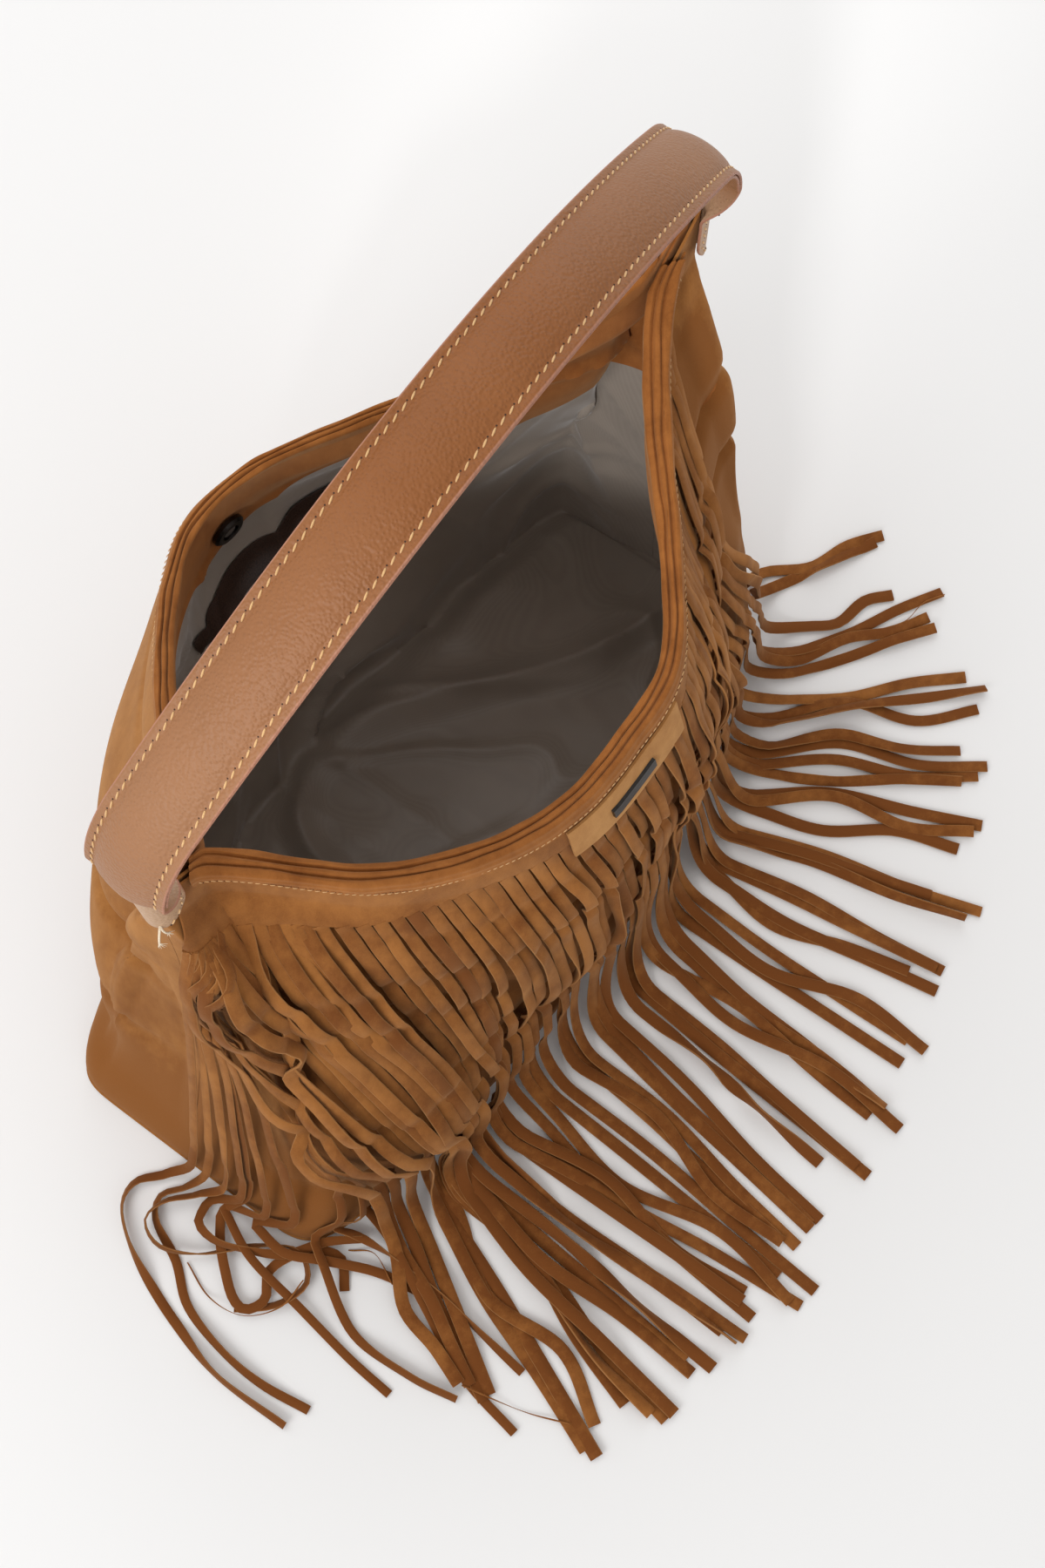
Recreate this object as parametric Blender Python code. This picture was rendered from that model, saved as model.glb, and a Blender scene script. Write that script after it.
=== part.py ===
"""Fringed suede shoulder bag, standing open on its flat base.

Metres, +Z up. X runs along the bag, with the two tips of the mouth at its ends. -Y is the fringed
front. The origin is on the underside of the base, below the middle of the strap.

Every cloth or leather wall lies at its own depth below the outer face of the body, so the layers
nest inside each other wherever the body bulges or narrows.
"""
import functools
import math

import bmesh
import bpy
import numpy as np

# Body: outer face of the suede. BELLY values pull the curve between the base and the mouth
BASE_LENGTH = 0.421
BELLY_LENGTH = 0.366
MOUTH_LENGTH = 0.371
FRONT_REACH = (0.108, 0.135, 0.1005)
BACK_REACH = (0.100, 0.165, 0.106)
BASE_END_WIDTH = 0.138
BELLY_END_WIDTH = 0.136
TIP_WIDTH = 0.0090
BASE_SHIFT = (-0.039, -0.013)
FRONT_EDGE_HEIGHT = 0.245
BACK_EDGE_HEIGHT = 0.270
TIP_HEIGHT = 0.335
PINCH_LENGTH = 0.024
PINCH_ROOM = 0.003
BULGE_POWERS = (0.42, 1.0)
CORNER_POWER = 20.0
TIP_CORNER_POWER = 14.0

# Mouth edge seen from above: its reach outwards at nine even places from the -X tip to the +X tip
FRONT_EDGE = (0.0, 0.53, 0.825, 0.975, 1.0, 0.955, 0.65, 0.27, 0.0)
BACK_EDGE = (0.0, 0.44, 0.785, 0.99, 0.955, 0.735, 0.46, 0.21, 0.0)

# Walls and the gaps between neighbours
SUEDE = 0.0014
FACING = 0.0012
LINING = 0.0006
BASE_THICKNESS = 0.0020
GAP = 0.0003
LOOSE_GAP = 0.0013
BACK_LINING_HANG = 0.018
FRINGE_GAP = 0.0010
SEAT_GAP = 0.0007
EDGE_GAP = 0.0006

# Facings inside the mouth, measured down from its edge
FRONT_FACING_DROP = 0.030
BACK_FACING_DROP = 0.040
END_FACING_DROP = 0.150
END_FACING_LENGTH = 0.0675
END_FACING_BLEND = 0.045
SNAP_FACING_EXTRA = 0.027
SNAP_FACING_WIDTH = 0.045
FACING_TUCK = 0.012
LINING_TUCK = 0.0015

# Turned edging over the mouth
BINDING = 0.0010
BINDING_LEG = 0.009
BINDING_COLUMNS_LEFT_BARE = 2

# Fringe
STRIP_COUNT = 64
FRINGE_INSET = 0.010
SLIT_ROOM = 0.01
ACROSS_STEP = 0.3
FOOT_SHARE = 0.8
BAND_DROP = 0.028
BAND_TOP_DROP = 0.0012
FRINGE = 0.0012
SLIT = 0.0004
STRIP_WIDTH = 0.0055
STRIP_LENGTH = 0.362
LONGER_AT_TIPS = 0.35
FAN_ANGLE = math.radians(50.0)
LANDING = 0.028
FLOOR_CLEARANCE = 0.0001
CURVE_STEPS = 2

# Strap
STRAP_WIDTH = 0.038
STRAP_RISE = 0.095
STRAP_ABOVE_TIPS = 0.140
STRAP_LEAN = -0.022
SHOULDER_INSET = 0.0195
STRAP_EDGE = 0.0016
STRAP_CROWN = 0.0030
STRAP_MARGIN = 0.0055
UNDERSIDE = 0.0014
TONGUE_DROP = 0.034
TONGUE_ROUND = 0.017
TONGUE_END_SHARE = 0.3
FOLD_START = 0.058
CREST_ROOM = 0.0024
MIDDLE_ROWS = 18
FOLD_ROWS = 5

# Tab, its bar, the snap and the pocket welt
TAB_SIZE = (0.077, 0.026)
TAB_X = -0.008
TAB_DROP = 0.013
BAR_SIZE = (0.031, 0.006, 0.0016)
SNAP_DIAMETER = 0.018
SNAP_HEIGHT = 0.0030
SNAP_DROP = 0.042
SNAP_X = -0.019
STUD_DIAMETER = 0.007
STUD_HEIGHT = 0.0028
WASHER_DIAMETER = 0.015
WASHER = 0.0004
FACING_CURVE = 2.6
ROUND_SIDES = 24
WELT_SIZE = (0.120, 0.014)
WELT_DROP = 0.100
WELT_X = -0.007
WELT_THICKNESS = 0.0010

FRONT = -1
BACK = 1
END_COLUMNS = 4
FACE_COLUMNS = 26
WALL_ROWS = 11
FACING_ROWS = 5
PATCH_COLUMNS = 14


def curve_between(start, control, end, v):
    """Quadratic curve from start at v = 0 to end at v = 1, pulled towards control."""
    return (1 - v) ** 2 * start + 2 * v * (1 - v) * control + v ** 2 * end


WALL_FOOT = BASE_THICKNESS + GAP
PINCH_START = 1.0 - (TONGUE_DROP + PINCH_ROOM) / (TIP_HEIGHT - WALL_FOOT)


def below_pinch(v):
    """0 at the base and 1 from where the tips are pinched flat by the strap's tongues."""
    return min(1.0, v / PINCH_START)


def half_length(v):
    return curve_between(BASE_LENGTH, BELLY_LENGTH, MOUTH_LENGTH, below_pinch(v)) / 2


def half_depth(side, v):
    """Reach of the broad face from the middle line."""
    return curve_between(*(FRONT_REACH if side == FRONT else BACK_REACH), v)


def half_end_width(v):
    return curve_between(BASE_END_WIDTH, BELLY_END_WIDTH, TIP_WIDTH, below_pinch(v)) / 2


def corner_power(v):
    """The section is boxier where the tips are flat than at the base."""
    return CORNER_POWER + (TIP_CORNER_POWER - CORNER_POWER) * below_pinch(v) ** 3


def mouth_height(side, x, half=MOUTH_LENGTH / 2):
    """Height of the mouth's edge over a point x along the bag; half is where the end seam is."""
    middle = FRONT_EDGE_HEIGHT if side == FRONT else BACK_EDGE_HEIGHT
    along = min(1.0, abs(x) / half)
    return middle + (TIP_HEIGHT - middle) * along ** 2


def edge_share(side, across):
    """Smooth curve through the mouth's table of reaches; across runs from -1 to 1."""
    table = FRONT_EDGE if side == FRONT else BACK_EDGE
    place = (across + 1) / 2 * (len(table) - 1)
    start = min(int(place), len(table) - 2)
    step = place - start
    before, here = table[max(start - 1, 0)], table[start]
    there, after = table[start + 1], table[min(start + 2, len(table) - 1)]
    lift = (there - before) / 2
    fall = (after - here) / 2
    share = (here * (1 + 2 * step) * (1 - step) ** 2 + lift * step * (1 - step) ** 2
             + there * step ** 2 * (3 - 2 * step) + fall * step ** 2 * (step - 1))
    return max(0.0, share)


def outline_point(side, v, depth, turn):
    """Point of one half of the section at height v: turn runs from 0 at the -X seam to pi at +X."""
    cosine, sine = math.cos(turn), math.sin(turn)
    power = corner_power(v)
    reach = (abs(cosine) ** power + abs(sine) ** power) ** (-1 / power)
    length = half_length(v) - depth
    end = half_end_width(v) - depth
    x = -length * cosine * reach
    flat = PINCH_LENGTH * below_pinch(v)
    across = min(1.0, max(-1.0, x / (length - flat)))
    left, right = BULGE_POWERS
    bulge = max(0.0, math.cos(math.pi / 2 * across)) ** (left + (right - left) * (across + 1) / 2)
    bulge += (edge_share(side, across) - bulge) * below_pinch(v) ** 3
    hang = BACK_LINING_HANG * math.sin(math.pi * v) if side == BACK and depth > SUEDE else 0.0
    y = (end + (half_depth(side, v) - depth - hang - end) * bulge) * sine * reach
    return x, side * y


def placed(x, y, v):
    """The bag leans: its base sits a little to the left and front below the mouth."""
    fade = (1 - below_pinch(v)) ** 2
    return x + BASE_SHIFT[0] * fade, y + BASE_SHIFT[1] * fade


def even_points(points, count):
    """Resample a polyline into count equal steps along its length."""
    points = np.asarray(points, float)
    run = np.concatenate([[0.0], np.cumsum(np.linalg.norm(np.diff(points, axis=0), axis=1))])
    wanted = np.linspace(0.0, run[-1], count + 1)
    return np.stack([np.interp(wanted, run, points[:, axis]) for axis in range(points.shape[1])], 1)


STATIONS = [*np.linspace(0.0, PINCH_START, WALL_ROWS), 1.0]
COLUMNS = 2 * END_COLUMNS + FACE_COLUMNS


@functools.cache
def station_row(side, station, depth, seam_gap=0.0):
    """Points of one half of the body at a station: an end, the broad face and the other end."""
    v = STATIONS[station]
    turns = (np.linspace(0.0, math.pi / 4, 80), np.linspace(math.pi / 4, math.pi * 3 / 4, 240))
    end = even_points([outline_point(side, v, depth, turn) for turn in turns[0]], END_COLUMNS)
    face = even_points([outline_point(side, v, depth, turn) for turn in turns[1]], FACE_COLUMNS)
    other = end[::-1] * np.array([-1.0, 1.0])
    seam = min(MOUTH_LENGTH / 2, half_length(v) - depth)
    row = []
    for x, y in np.concatenate([end[:-1], face, other[1:]]):
        height = WALL_FOOT + v * (mouth_height(side, x, seam) - WALL_FOOT)
        row.append((*placed(x, side * max(abs(y), seam_gap), v), height))
    return np.array(row)


def wall_point(side, column, v, depth, seam_gap=0.0):
    """Point of a wall at a column (whole or between two) and a height v, 0 base and 1 mouth."""
    below = min(np.searchsorted(STATIONS, v, side="right") - 1, len(STATIONS) - 2)
    below = max(below, 0)
    share = (v - STATIONS[below]) / (STATIONS[below + 1] - STATIONS[below])
    left = min(int(column), COLUMNS - 1)
    across = column - left
    rows = [station_row(side, station, depth, seam_gap) for station in (below, below + 1)]
    low, high = (row[left] * (1 - across) + row[left + 1] * across for row in rows)
    return low * (1 - share) + high * share


def wall_row(side, height, depth, seam_gap=0.0):
    """One row of a wall, column by column. height is v, or a function of x at the mouth."""
    row = []
    for column in range(COLUMNS + 1):
        x_mouth = station_row(side, len(STATIONS) - 1, 0.0)[column][0]
        v = height(x_mouth) if callable(height) else height
        row.append(wall_point(side, column, v, depth, seam_gap))
    return row


def drop_to_v(side, x, drop):
    """Turn a drop below the mouth's edge into a height v."""
    return 1.0 - drop / (mouth_height(side, x) - WALL_FOOT)


def smooth_step(value):
    value = min(1.0, max(0.0, value))
    return value * value * (3 - 2 * value)


def facing_drop(side, x):
    """Depth of the facing: a band, a rounded patch at each end and room for the snap."""
    start = MOUTH_LENGTH / 2 - END_FACING_LENGTH
    ends = smooth_step((abs(x) - start) / END_FACING_BLEND)
    band = FRONT_FACING_DROP if side == FRONT else BACK_FACING_DROP
    drop = band + (END_FACING_DROP - band) * ends
    return drop + SNAP_FACING_EXTRA * math.exp(-((x - SNAP_X) / SNAP_FACING_WIDTH) ** 2)


def facing_foot(side, x):
    """Height v of the facing's lower edge, always below the pinched part of the wall."""
    return min(drop_to_v(side, x, facing_drop(side, x)), PINCH_START - FACING_TUCK)


def plain_material(name, color, roughness=0.9, metallic=0.0):
    material = bpy.data.materials.new(name)
    material.use_nodes = True
    shader = material.node_tree.nodes["Principled BSDF"]
    shader.inputs["Base Color"].default_value = (*color, 1.0)
    shader.inputs["Roughness"].default_value = roughness
    shader.inputs["Metallic"].default_value = metallic
    return material


def add_object(name, points, faces, color, roughness=0.9, metallic=0.0):
    """Make a mesh object whose faces all point outwards."""
    mesh = bpy.data.meshes.new(name)
    mesh.from_pydata([tuple(point) for point in points], [], faces)
    work = bmesh.new()
    work.from_mesh(mesh)
    bmesh.ops.recalc_face_normals(work, faces=work.faces)
    work.to_mesh(mesh)
    work.free()
    mesh.shade_smooth()
    mesh.set_sharp_from_angle(angle=math.radians(35))
    item = bpy.data.objects.new(name, mesh)
    bpy.context.scene.collection.objects.link(item)
    mesh.materials.append(plain_material(name, color, roughness, metallic))
    return item


def mirrored_halves(a, b, c, d, left_half):
    """Split a four-sided facet so that the two ends of the bag are mirror images."""
    return ((a, b, c), (a, c, d)) if left_half else ((a, b, d), (b, c, d))


def closed_sheet(name, outer, inner, *finish):
    """Close two equal grids of points, an outer and an inner face, into one thin body."""
    rows, columns = len(outer), len(outer[0])
    points = [point for row in outer for point in row] + [point for row in inner for point in row]
    shift = rows * columns
    faces = []
    for j in range(rows - 1):
        for i in range(columns - 1):
            a = j * columns + i
            for one, two, three in mirrored_halves(a, a + 1, a + columns + 1, a + columns,
                                                   2 * i < columns - 1):
                faces.append((one, two, three))
                faces.append((one + shift, three + shift, two + shift))
    rim = list(range(columns))
    rim += [j * columns + columns - 1 for j in range(1, rows)]
    rim += [(rows - 1) * columns + i for i in range(columns - 2, -1, -1)]
    rim += [j * columns for j in range(rows - 2, 0, -1)]
    for a, b in zip(rim, rim[1:] + rim[:1]):
        faces.append((b, a, a + shift, b + shift))
    return add_object(name, points, faces, *finish)


SUEDE_COLOR = (0.42, 0.20, 0.065)
FACING_COLOR = (0.30, 0.13, 0.04)
LINING_COLOR = (0.15, 0.13, 0.11)
LEATHER_COLOR = (0.36, 0.15, 0.06)
WELT_COLOR = (0.05, 0.02, 0.01)
GUNMETAL = (0.035, 0.032, 0.030)
NICKEL = (0.35, 0.34, 0.33)


def make_panel(name, side):
    """Suede half of the body, from the base seam to the mouth, with half of both boxed ends."""
    outer = [wall_row(side, v, 0.0, GAP / 2) for v in STATIONS]
    inner = [wall_row(side, v, SUEDE, GAP / 2) for v in STATIONS]
    closed_sheet(name, outer, inner, SUEDE_COLOR)


FACING_OUT = SUEDE + LOOSE_GAP
FACING_IN = FACING_OUT + FACING
LINING_IN = FACING_OUT + LINING


def make_facing(name, side):
    """Suede facing inside the mouth, as one skin with its two deep rounded ends."""
    def between(share):
        return lambda x: PINCH_START * share + facing_foot(side, x) * (1 - share)

    heights = [*(between(step / FACING_ROWS) for step in range(FACING_ROWS + 1)), 1.0]
    outer = [wall_row(side, height, FACING_OUT, GAP / 2) for height in heights]
    inner = [wall_row(side, height, FACING_IN, GAP / 2) for height in heights]
    closed_sheet(name, outer, inner, FACING_COLOR)


def lining_ring(share, depth):
    """Ring of the lining: share 0 is the bottom and share 1 the edge under the facings."""
    def height(side):
        return lambda x: share * (facing_foot(side, x) - LINING_TUCK)

    front = wall_row(FRONT, height(FRONT), depth)
    back = wall_row(BACK, height(BACK), depth)
    ring = front[1:-1] + back[:0:-1] + back[:1]
    return ring


def make_lining():
    """Cloth bag: its walls hang inside the suede and its floor lies on the base."""
    shares = np.linspace(0.0, 1.0, WALL_ROWS)
    outer = [lining_ring(share, FACING_OUT) for share in shares]
    inner = [lining_ring(share, LINING_IN) for share in shares]
    inner[0] = [(x, y, z + LINING) for x, y, z in inner[0]]
    size = len(outer[0])
    points = [point for ring in outer + inner for point in ring]
    faces = []
    count = len(shares)
    for j in range(count - 1):
        for i in range(size):
            a, b = j * size + i, j * size + (i + 1) % size
            faces.append((a, b, b + size, a + size))
            shift = count * size
            faces.append((b + shift, a + shift, a + size + shift, b + size + shift))
    top = (count - 1) * size
    for i in range(size):
        a, b = top + i, top + (i + 1) % size
        faces.append((a, b, b + count * size, a + count * size))
    faces.append(tuple(range(size))[::-1])
    faces.append(tuple(count * size + i for i in range(size)))
    add_object("lining", points, faces, LINING_COLOR, 0.6)


def make_base():
    """Flat suede bottom that the walls stand on."""
    front = station_row(FRONT, 0, 0.0)
    back = station_row(BACK, 0, 0.0)
    outline = [(x, y) for x, y, _ in [*front, *back[-2:0:-1]]]
    size = len(outline)
    points = [(x, y, 0.0) for x, y in outline] + [(x, y, BASE_THICKNESS) for x, y in outline]
    faces = [tuple(range(size))[::-1], tuple(range(size, 2 * size))]
    for i in range(size):
        j = (i + 1) % size
        faces.append((i, j, j + size, i + size))
    add_object("base_panel", points, faces, SUEDE_COLOR)


def edge_point(side, fraction, depth, drop):
    """Point near the mouth, at a fraction of the broad face, a depth inwards and a drop down."""
    column = END_COLUMNS + fraction * FACE_COLUMNS
    height = drop_to_v(side, wall_point(side, column, 1.0, 0.0)[0], drop)
    return wall_point(side, column, height, depth)


BAND_OUT = FRINGE_GAP + FRINGE


def make_binding(name, side):
    """Turned suede edging: a channel that is open below and sits over the mouth's edge."""
    outside = -(BAND_OUT + EDGE_GAP) if side == FRONT else -EDGE_GAP
    inside = FACING_IN + EDGE_GAP
    bare = BINDING_COLUMNS_LEFT_BARE
    fractions = [column / FACE_COLUMNS for column in range(bare, FACE_COLUMNS - bare + 1)]
    outer, inner = [], []
    for fraction in fractions:
        outer.append([
            edge_point(side, fraction, outside - BINDING, BINDING_LEG),
            edge_point(side, fraction, outside - BINDING, 0.0),
            edge_point(side, fraction, outside, -GAP - BINDING),
            edge_point(side, fraction, inside, -GAP - BINDING),
            edge_point(side, fraction, inside + BINDING, 0.0),
            edge_point(side, fraction, inside + BINDING, BINDING_LEG)])
        inner.append([
            edge_point(side, fraction, outside, BINDING_LEG),
            edge_point(side, fraction, outside, 0.0),
            edge_point(side, fraction, outside, -GAP),
            edge_point(side, fraction, inside, -GAP),
            edge_point(side, fraction, inside, 0.0),
            edge_point(side, fraction, inside, BINDING_LEG)])
    closed_sheet(name, outer, inner, SUEDE_COLOR)


def strip_rows(index):
    """Rows of one strip, from below its slit to its end: the centre and the direction across."""
    share = FRINGE_INSET + (1 - 2 * FRINGE_INSET) * (index + 0.5) / STRIP_COUNT
    column = END_COLUMNS + share * FACE_COLUMNS
    middle = -(FRINGE_GAP + FRINGE / 2)
    x_mouth = wall_point(FRONT, column, 1.0, 0.0)[0]
    slit_height = drop_to_v(FRONT, x_mouth, BAND_DROP)
    rows = []
    for height in STATIONS[-2:0:-1]:
        if height < slit_height - SLIT_ROOM:
            left, centre, right = (
                wall_point(FRONT, min(max(column + step, END_COLUMNS), COLUMNS - END_COLUMNS),
                           height, middle) for step in (-ACROSS_STEP, 0.0, ACROSS_STEP))
            rows.append((centre, right - left))
    leave, across = rows[-1]
    across = across / np.linalg.norm(across)
    downhill = (leave - rows[-2][0]) / np.linalg.norm(leave - rows[-2][0])
    turn = FAN_ANGLE * leave[0] / (BASE_LENGTH / 2)
    away = np.array([math.sin(turn), -math.cos(turn), 0.0])
    sideways = np.array([math.cos(turn), math.sin(turn), 0.0])
    land = leave + away * LANDING
    land[2] = FRINGE / 2 + FLOOR_CLEARANCE
    foot = leave + downhill * (leave[2] * FOOT_SHARE)
    foot[2] = land[2]
    for step in range(1, CURVE_STEPS + 1):
        share = step / CURVE_STEPS
        centre = (1 - share) ** 2 * leave + 2 * share * (1 - share) * foot + share ** 2 * land
        rows.append((centre, across * (1 - share) + sideways * share))
    hung = mouth_height(FRONT, x_mouth) - BAND_DROP
    extra = LONGER_AT_TIPS * (mouth_height(FRONT, x_mouth) - FRONT_EDGE_HEIGHT)
    rows.append((land + away * (STRIP_LENGTH + extra - hung), sideways))
    return rows


def make_fringe():
    """One piece of suede: a plain band under the edging, cut below into long strips."""
    points, faces = [], []

    def add(point):
        points.append(tuple(point))
        return len(points) - 1

    half_slit = SLIT / MOUTH_LENGTH / 2
    strip_share = (1 - 2 * FRINGE_INSET) / STRIP_COUNT
    fractions = []
    for index in range(STRIP_COUNT):
        fractions.append(FRINGE_INSET + index * strip_share + half_slit)
        fractions.append(FRINGE_INSET + (index + 1) * strip_share - half_slit)
    band = {}
    for layer, depth in (("out", -BAND_OUT), ("in", -FRINGE_GAP)):
        for row, drop in (("top", BAND_TOP_DROP), ("low", BAND_DROP)):
            band[layer, row] = [add(edge_point(FRONT, fraction, depth, drop)) for fraction in fractions]
    for i in range(len(fractions) - 1):
        for layer in ("out", "in"):
            top, low = band[layer, "top"], band[layer, "low"]
            faces.append((top[i], top[i + 1], low[i + 1], low[i]))
        faces.append((band["out", "top"][i], band["out", "top"][i + 1],
                      band["in", "top"][i + 1], band["in", "top"][i]))
        if i % 2:
            faces.append((band["out", "low"][i], band["out", "low"][i + 1],
                          band["in", "low"][i + 1], band["in", "low"][i]))
    for i in (0, -1):
        faces.append((band["out", "top"][i], band["out", "low"][i],
                      band["in", "low"][i], band["in", "top"][i]))
    for index in range(STRIP_COUNT):
        left, right = 2 * index, 2 * index + 1
        ring = [band["out", "low"][left], band["out", "low"][right],
                band["in", "low"][right], band["in", "low"][left]]
        rows = strip_rows(index)
        before = None
        for number, (centre, across) in enumerate(rows):
            after = rows[min(number + 1, len(rows) - 1)][0]
            start = rows[number - 1][0] if number else centre
            along = (after - start) / np.linalg.norm(after - start)
            across = across - along * np.dot(across, along)
            across = across / np.linalg.norm(across)
            outward = np.cross(across, along)
            if before is not None and np.dot(outward, before) < 0:
                outward = -outward
            elif before is None and outward[1] > 0:
                outward = -outward
            before = outward
            side = across * STRIP_WIDTH / 2
            lift = outward * FRINGE / 2
            fresh = [add(centre - side + lift), add(centre + side + lift),
                     add(centre + side - lift), add(centre - side - lift)]
            for k in range(4):
                n = (k + 1) % 4
                faces.append((ring[k], ring[n], fresh[n], fresh[k]))
            ring = fresh
        faces.append(tuple(ring))
    add_object("fringe_panel", points, faces, SUEDE_COLOR)


STRAP_LEG_X = MOUTH_LENGTH / 2 + CREST_ROOM
STRAP_TOP_HEIGHT = TIP_HEIGHT + STRAP_ABOVE_TIPS
SHOULDER_X = MOUTH_LENGTH / 2 - SHOULDER_INSET


def strap_path():
    """Inner middle line of the strap, from one tongue's end over the top to the other's."""
    steep = STRAP_RISE / (MOUTH_LENGTH / 2) ** 2
    slope = math.atan(2 * steep * SHOULDER_X)
    radius = (STRAP_LEG_X - SHOULDER_X) / (1 - math.sin(slope))
    shoulder_z = STRAP_TOP_HEIGHT - steep * SHOULDER_X ** 2
    side = [(x, STRAP_TOP_HEIGHT - steep * x * x) for x in np.linspace(0.0, SHOULDER_X, 40)]
    for angle in np.linspace(slope, math.pi / 2, 16)[1:]:
        side.append((SHOULDER_X + radius * (math.sin(angle) - math.sin(slope)),
                     shoulder_z - radius * (math.cos(slope) - math.cos(angle))))
    side.append((STRAP_LEG_X, TIP_HEIGHT - TONGUE_DROP))
    path = [(-x, z) for x, z in side[:0:-1]] + side
    lean = [STRAP_LEAN * (1 - (x / STRAP_LEG_X) ** 2) for x, _ in path]
    return np.array([(x, y, z) for (x, z), y in zip(path, lean)])


FOLD_FRONT = TIP_WIDTH / 2 + BAND_OUT + SEAT_GAP
FOLD_BACK = TIP_WIDTH / 2 + SEAT_GAP
FOLD_RADIUS = (FOLD_FRONT + FOLD_BACK) / 2
FOLD_SHIFT = (FOLD_BACK - FOLD_FRONT) / 2


def strap_frames():
    """Stations along the strap, close together at its ends: place, outward direction, end distance."""
    path = strap_path()
    run = np.concatenate([[0.0], np.cumsum(np.linalg.norm(np.diff(path, axis=0), axis=1))])
    tongue = [TONGUE_ROUND * share for share in (0.0, 0.07, 0.2, 0.42, 0.7)]
    step = 0.002
    near = tongue + list(np.linspace(TONGUE_ROUND, TONGUE_DROP, 3)[:-1])
    near += list(np.linspace(TONGUE_DROP, FOLD_START, FOLD_ROWS)[:-1])
    middle = list(np.linspace(FOLD_START, run[-1] - FOLD_START, MIDDLE_ROWS + 1))
    stations = near + middle + [run[-1] - distance for distance in near[::-1]]
    frames = []
    for station in stations:
        ends = (max(station - step, 0.0), min(station + step, run[-1]))
        before, point, after = (
            np.array([np.interp(at, run, path[:, axis]) for axis in range(3)])
            for at in (ends[0], station, ends[1]))
        outward = np.array([before[2] - after[2], 0.0, after[0] - before[0]])
        outward = outward / np.linalg.norm(outward)
        frames.append((point, outward, min(station, run[-1] - station)))
    return frames


def fold_amount(distance):
    """How far the strap is folded round the tip: 1 over the tongue, 0 from the fold's start on."""
    straight = TONGUE_DROP
    return 1.0 - smooth_step((distance - straight) / (FOLD_START - straight))


def strap_section(frame, offset):
    """Point of the strap's inner face at a sideways offset, with its outward direction."""
    point, outward, distance = frame
    fold = fold_amount(distance)
    bend = FOLD_RADIUS * math.pi / 2
    rate = fold * math.pi / 2 / bend
    curved = min(abs(offset), bend)
    straight = abs(offset) - curved
    angle = rate * curved
    across = (math.sin(angle) / rate if rate > 1e-6 else curved) + straight * math.cos(angle)
    inward = ((1 - math.cos(angle)) / rate if rate > 1e-6 else 0.0) + straight * math.sin(angle)
    sign = math.copysign(1.0, offset)
    sideways = np.array([0.0, 1.0, 0.0])
    place = point + sideways * (sign * across + FOLD_SHIFT * fold) - outward * inward
    normal = sideways * sign * math.sin(angle) + outward * math.cos(angle)
    return place, normal


def strap_half_width(distance):
    """The strap keeps its width, and its end is cut to a round tongue."""
    if distance >= TONGUE_ROUND:
        return STRAP_WIDTH / 2
    rise = 1 - distance / TONGUE_ROUND
    return STRAP_WIDTH / 2 * max(TONGUE_END_SHARE, math.sqrt(max(0.0, 1 - rise * rise)))


def make_strap():
    """Crowned leather strap, folded round both tips, with a flat backing up to the folds."""
    frames = strap_frames()
    bend = FOLD_RADIUS * math.pi / STRAP_WIDTH
    side = [bend * step / 4 for step in range(1, 5)] + [(1 + bend) / 2, 1.0]
    shares = [-share for share in side[::-1]] + [0.0] + side
    outer, inner = [], []
    for frame in frames:
        half = strap_half_width(frame[2])
        pad = 1.0 - fold_amount(frame[2])
        top_row, low_row = [], []
        for share in shares:
            place, normal = strap_section(frame, share * half)
            edge = STRAP_WIDTH / 2 - STRAP_MARGIN
            inside = max(0.0, 1 - (share * half / edge) ** 2)
            top_row.append(place + normal * (STRAP_EDGE + STRAP_CROWN * pad * inside))
            low_row.append(place)
        outer.append(top_row)
        inner.append(low_row)
    closed_sheet("strap_top", outer, inner, LEATHER_COLOR, 0.45)
    backed = [frame for frame in frames if fold_amount(frame[2]) == 0.0]
    outer, inner = [], []
    for point, outward, _ in backed:
        sides = [np.array([0.0, share * STRAP_WIDTH / 2, 0.0]) for share in (-1, 0, 1)]
        outer.append([point + side - outward * GAP for side in sides])
        inner.append([point + side - outward * (GAP + UNDERSIDE) for side in sides])
    closed_sheet("strap_underside", outer, inner, LEATHER_COLOR, 0.5)


def wall_patch(name, side, x, drop, size, depth, thickness, *finish):
    """Thin rectangular patch that follows a wall, centred at x and a drop below the mouth."""
    columns, rows = PATCH_COLUMNS, 2
    layers = []
    for level in (depth, depth + thickness):
        layer = []
        for down in np.linspace(drop + size[1] / 2, drop - size[1] / 2, rows + 1):
            row = []
            for along in np.linspace(x - size[0] / 2, x + size[0] / 2, columns + 1):
                row.append(wall_spot(side, along, down, level))
            layer.append(row)
        layers.append(layer)
    closed_sheet(name, layers[0], layers[1], *finish)


def wall_spot(side, x, drop, depth):
    """Point of a wall at a given x, a drop below the mouth's edge and a depth inwards."""
    height = drop_to_v(side, x, drop)
    columns = range(COLUMNS + 1)
    along = [wall_point(side, column, height, depth)[0] for column in columns]
    return wall_point(side, float(np.interp(x, along, columns)), height, depth)


def wall_frame(side, x, drop, depth):
    """Place on a wall with its outward direction, for a flat round piece that sits on it."""
    step = 0.004
    centre = np.array(wall_spot(side, x, drop, depth))
    along = np.array(wall_spot(side, x + step, drop, depth)) - np.array(
        wall_spot(side, x - step, drop, depth))
    up = np.array(wall_spot(side, x, drop - step, depth)) - np.array(
        wall_spot(side, x, drop + step, depth))
    along = along / np.linalg.norm(along)
    up = up - along * np.dot(up, along)
    up = up / np.linalg.norm(up)
    outward = np.cross(along, up) * -side
    if outward[1] * side < 0:
        outward = -outward
    return centre, along, up, outward


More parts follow.
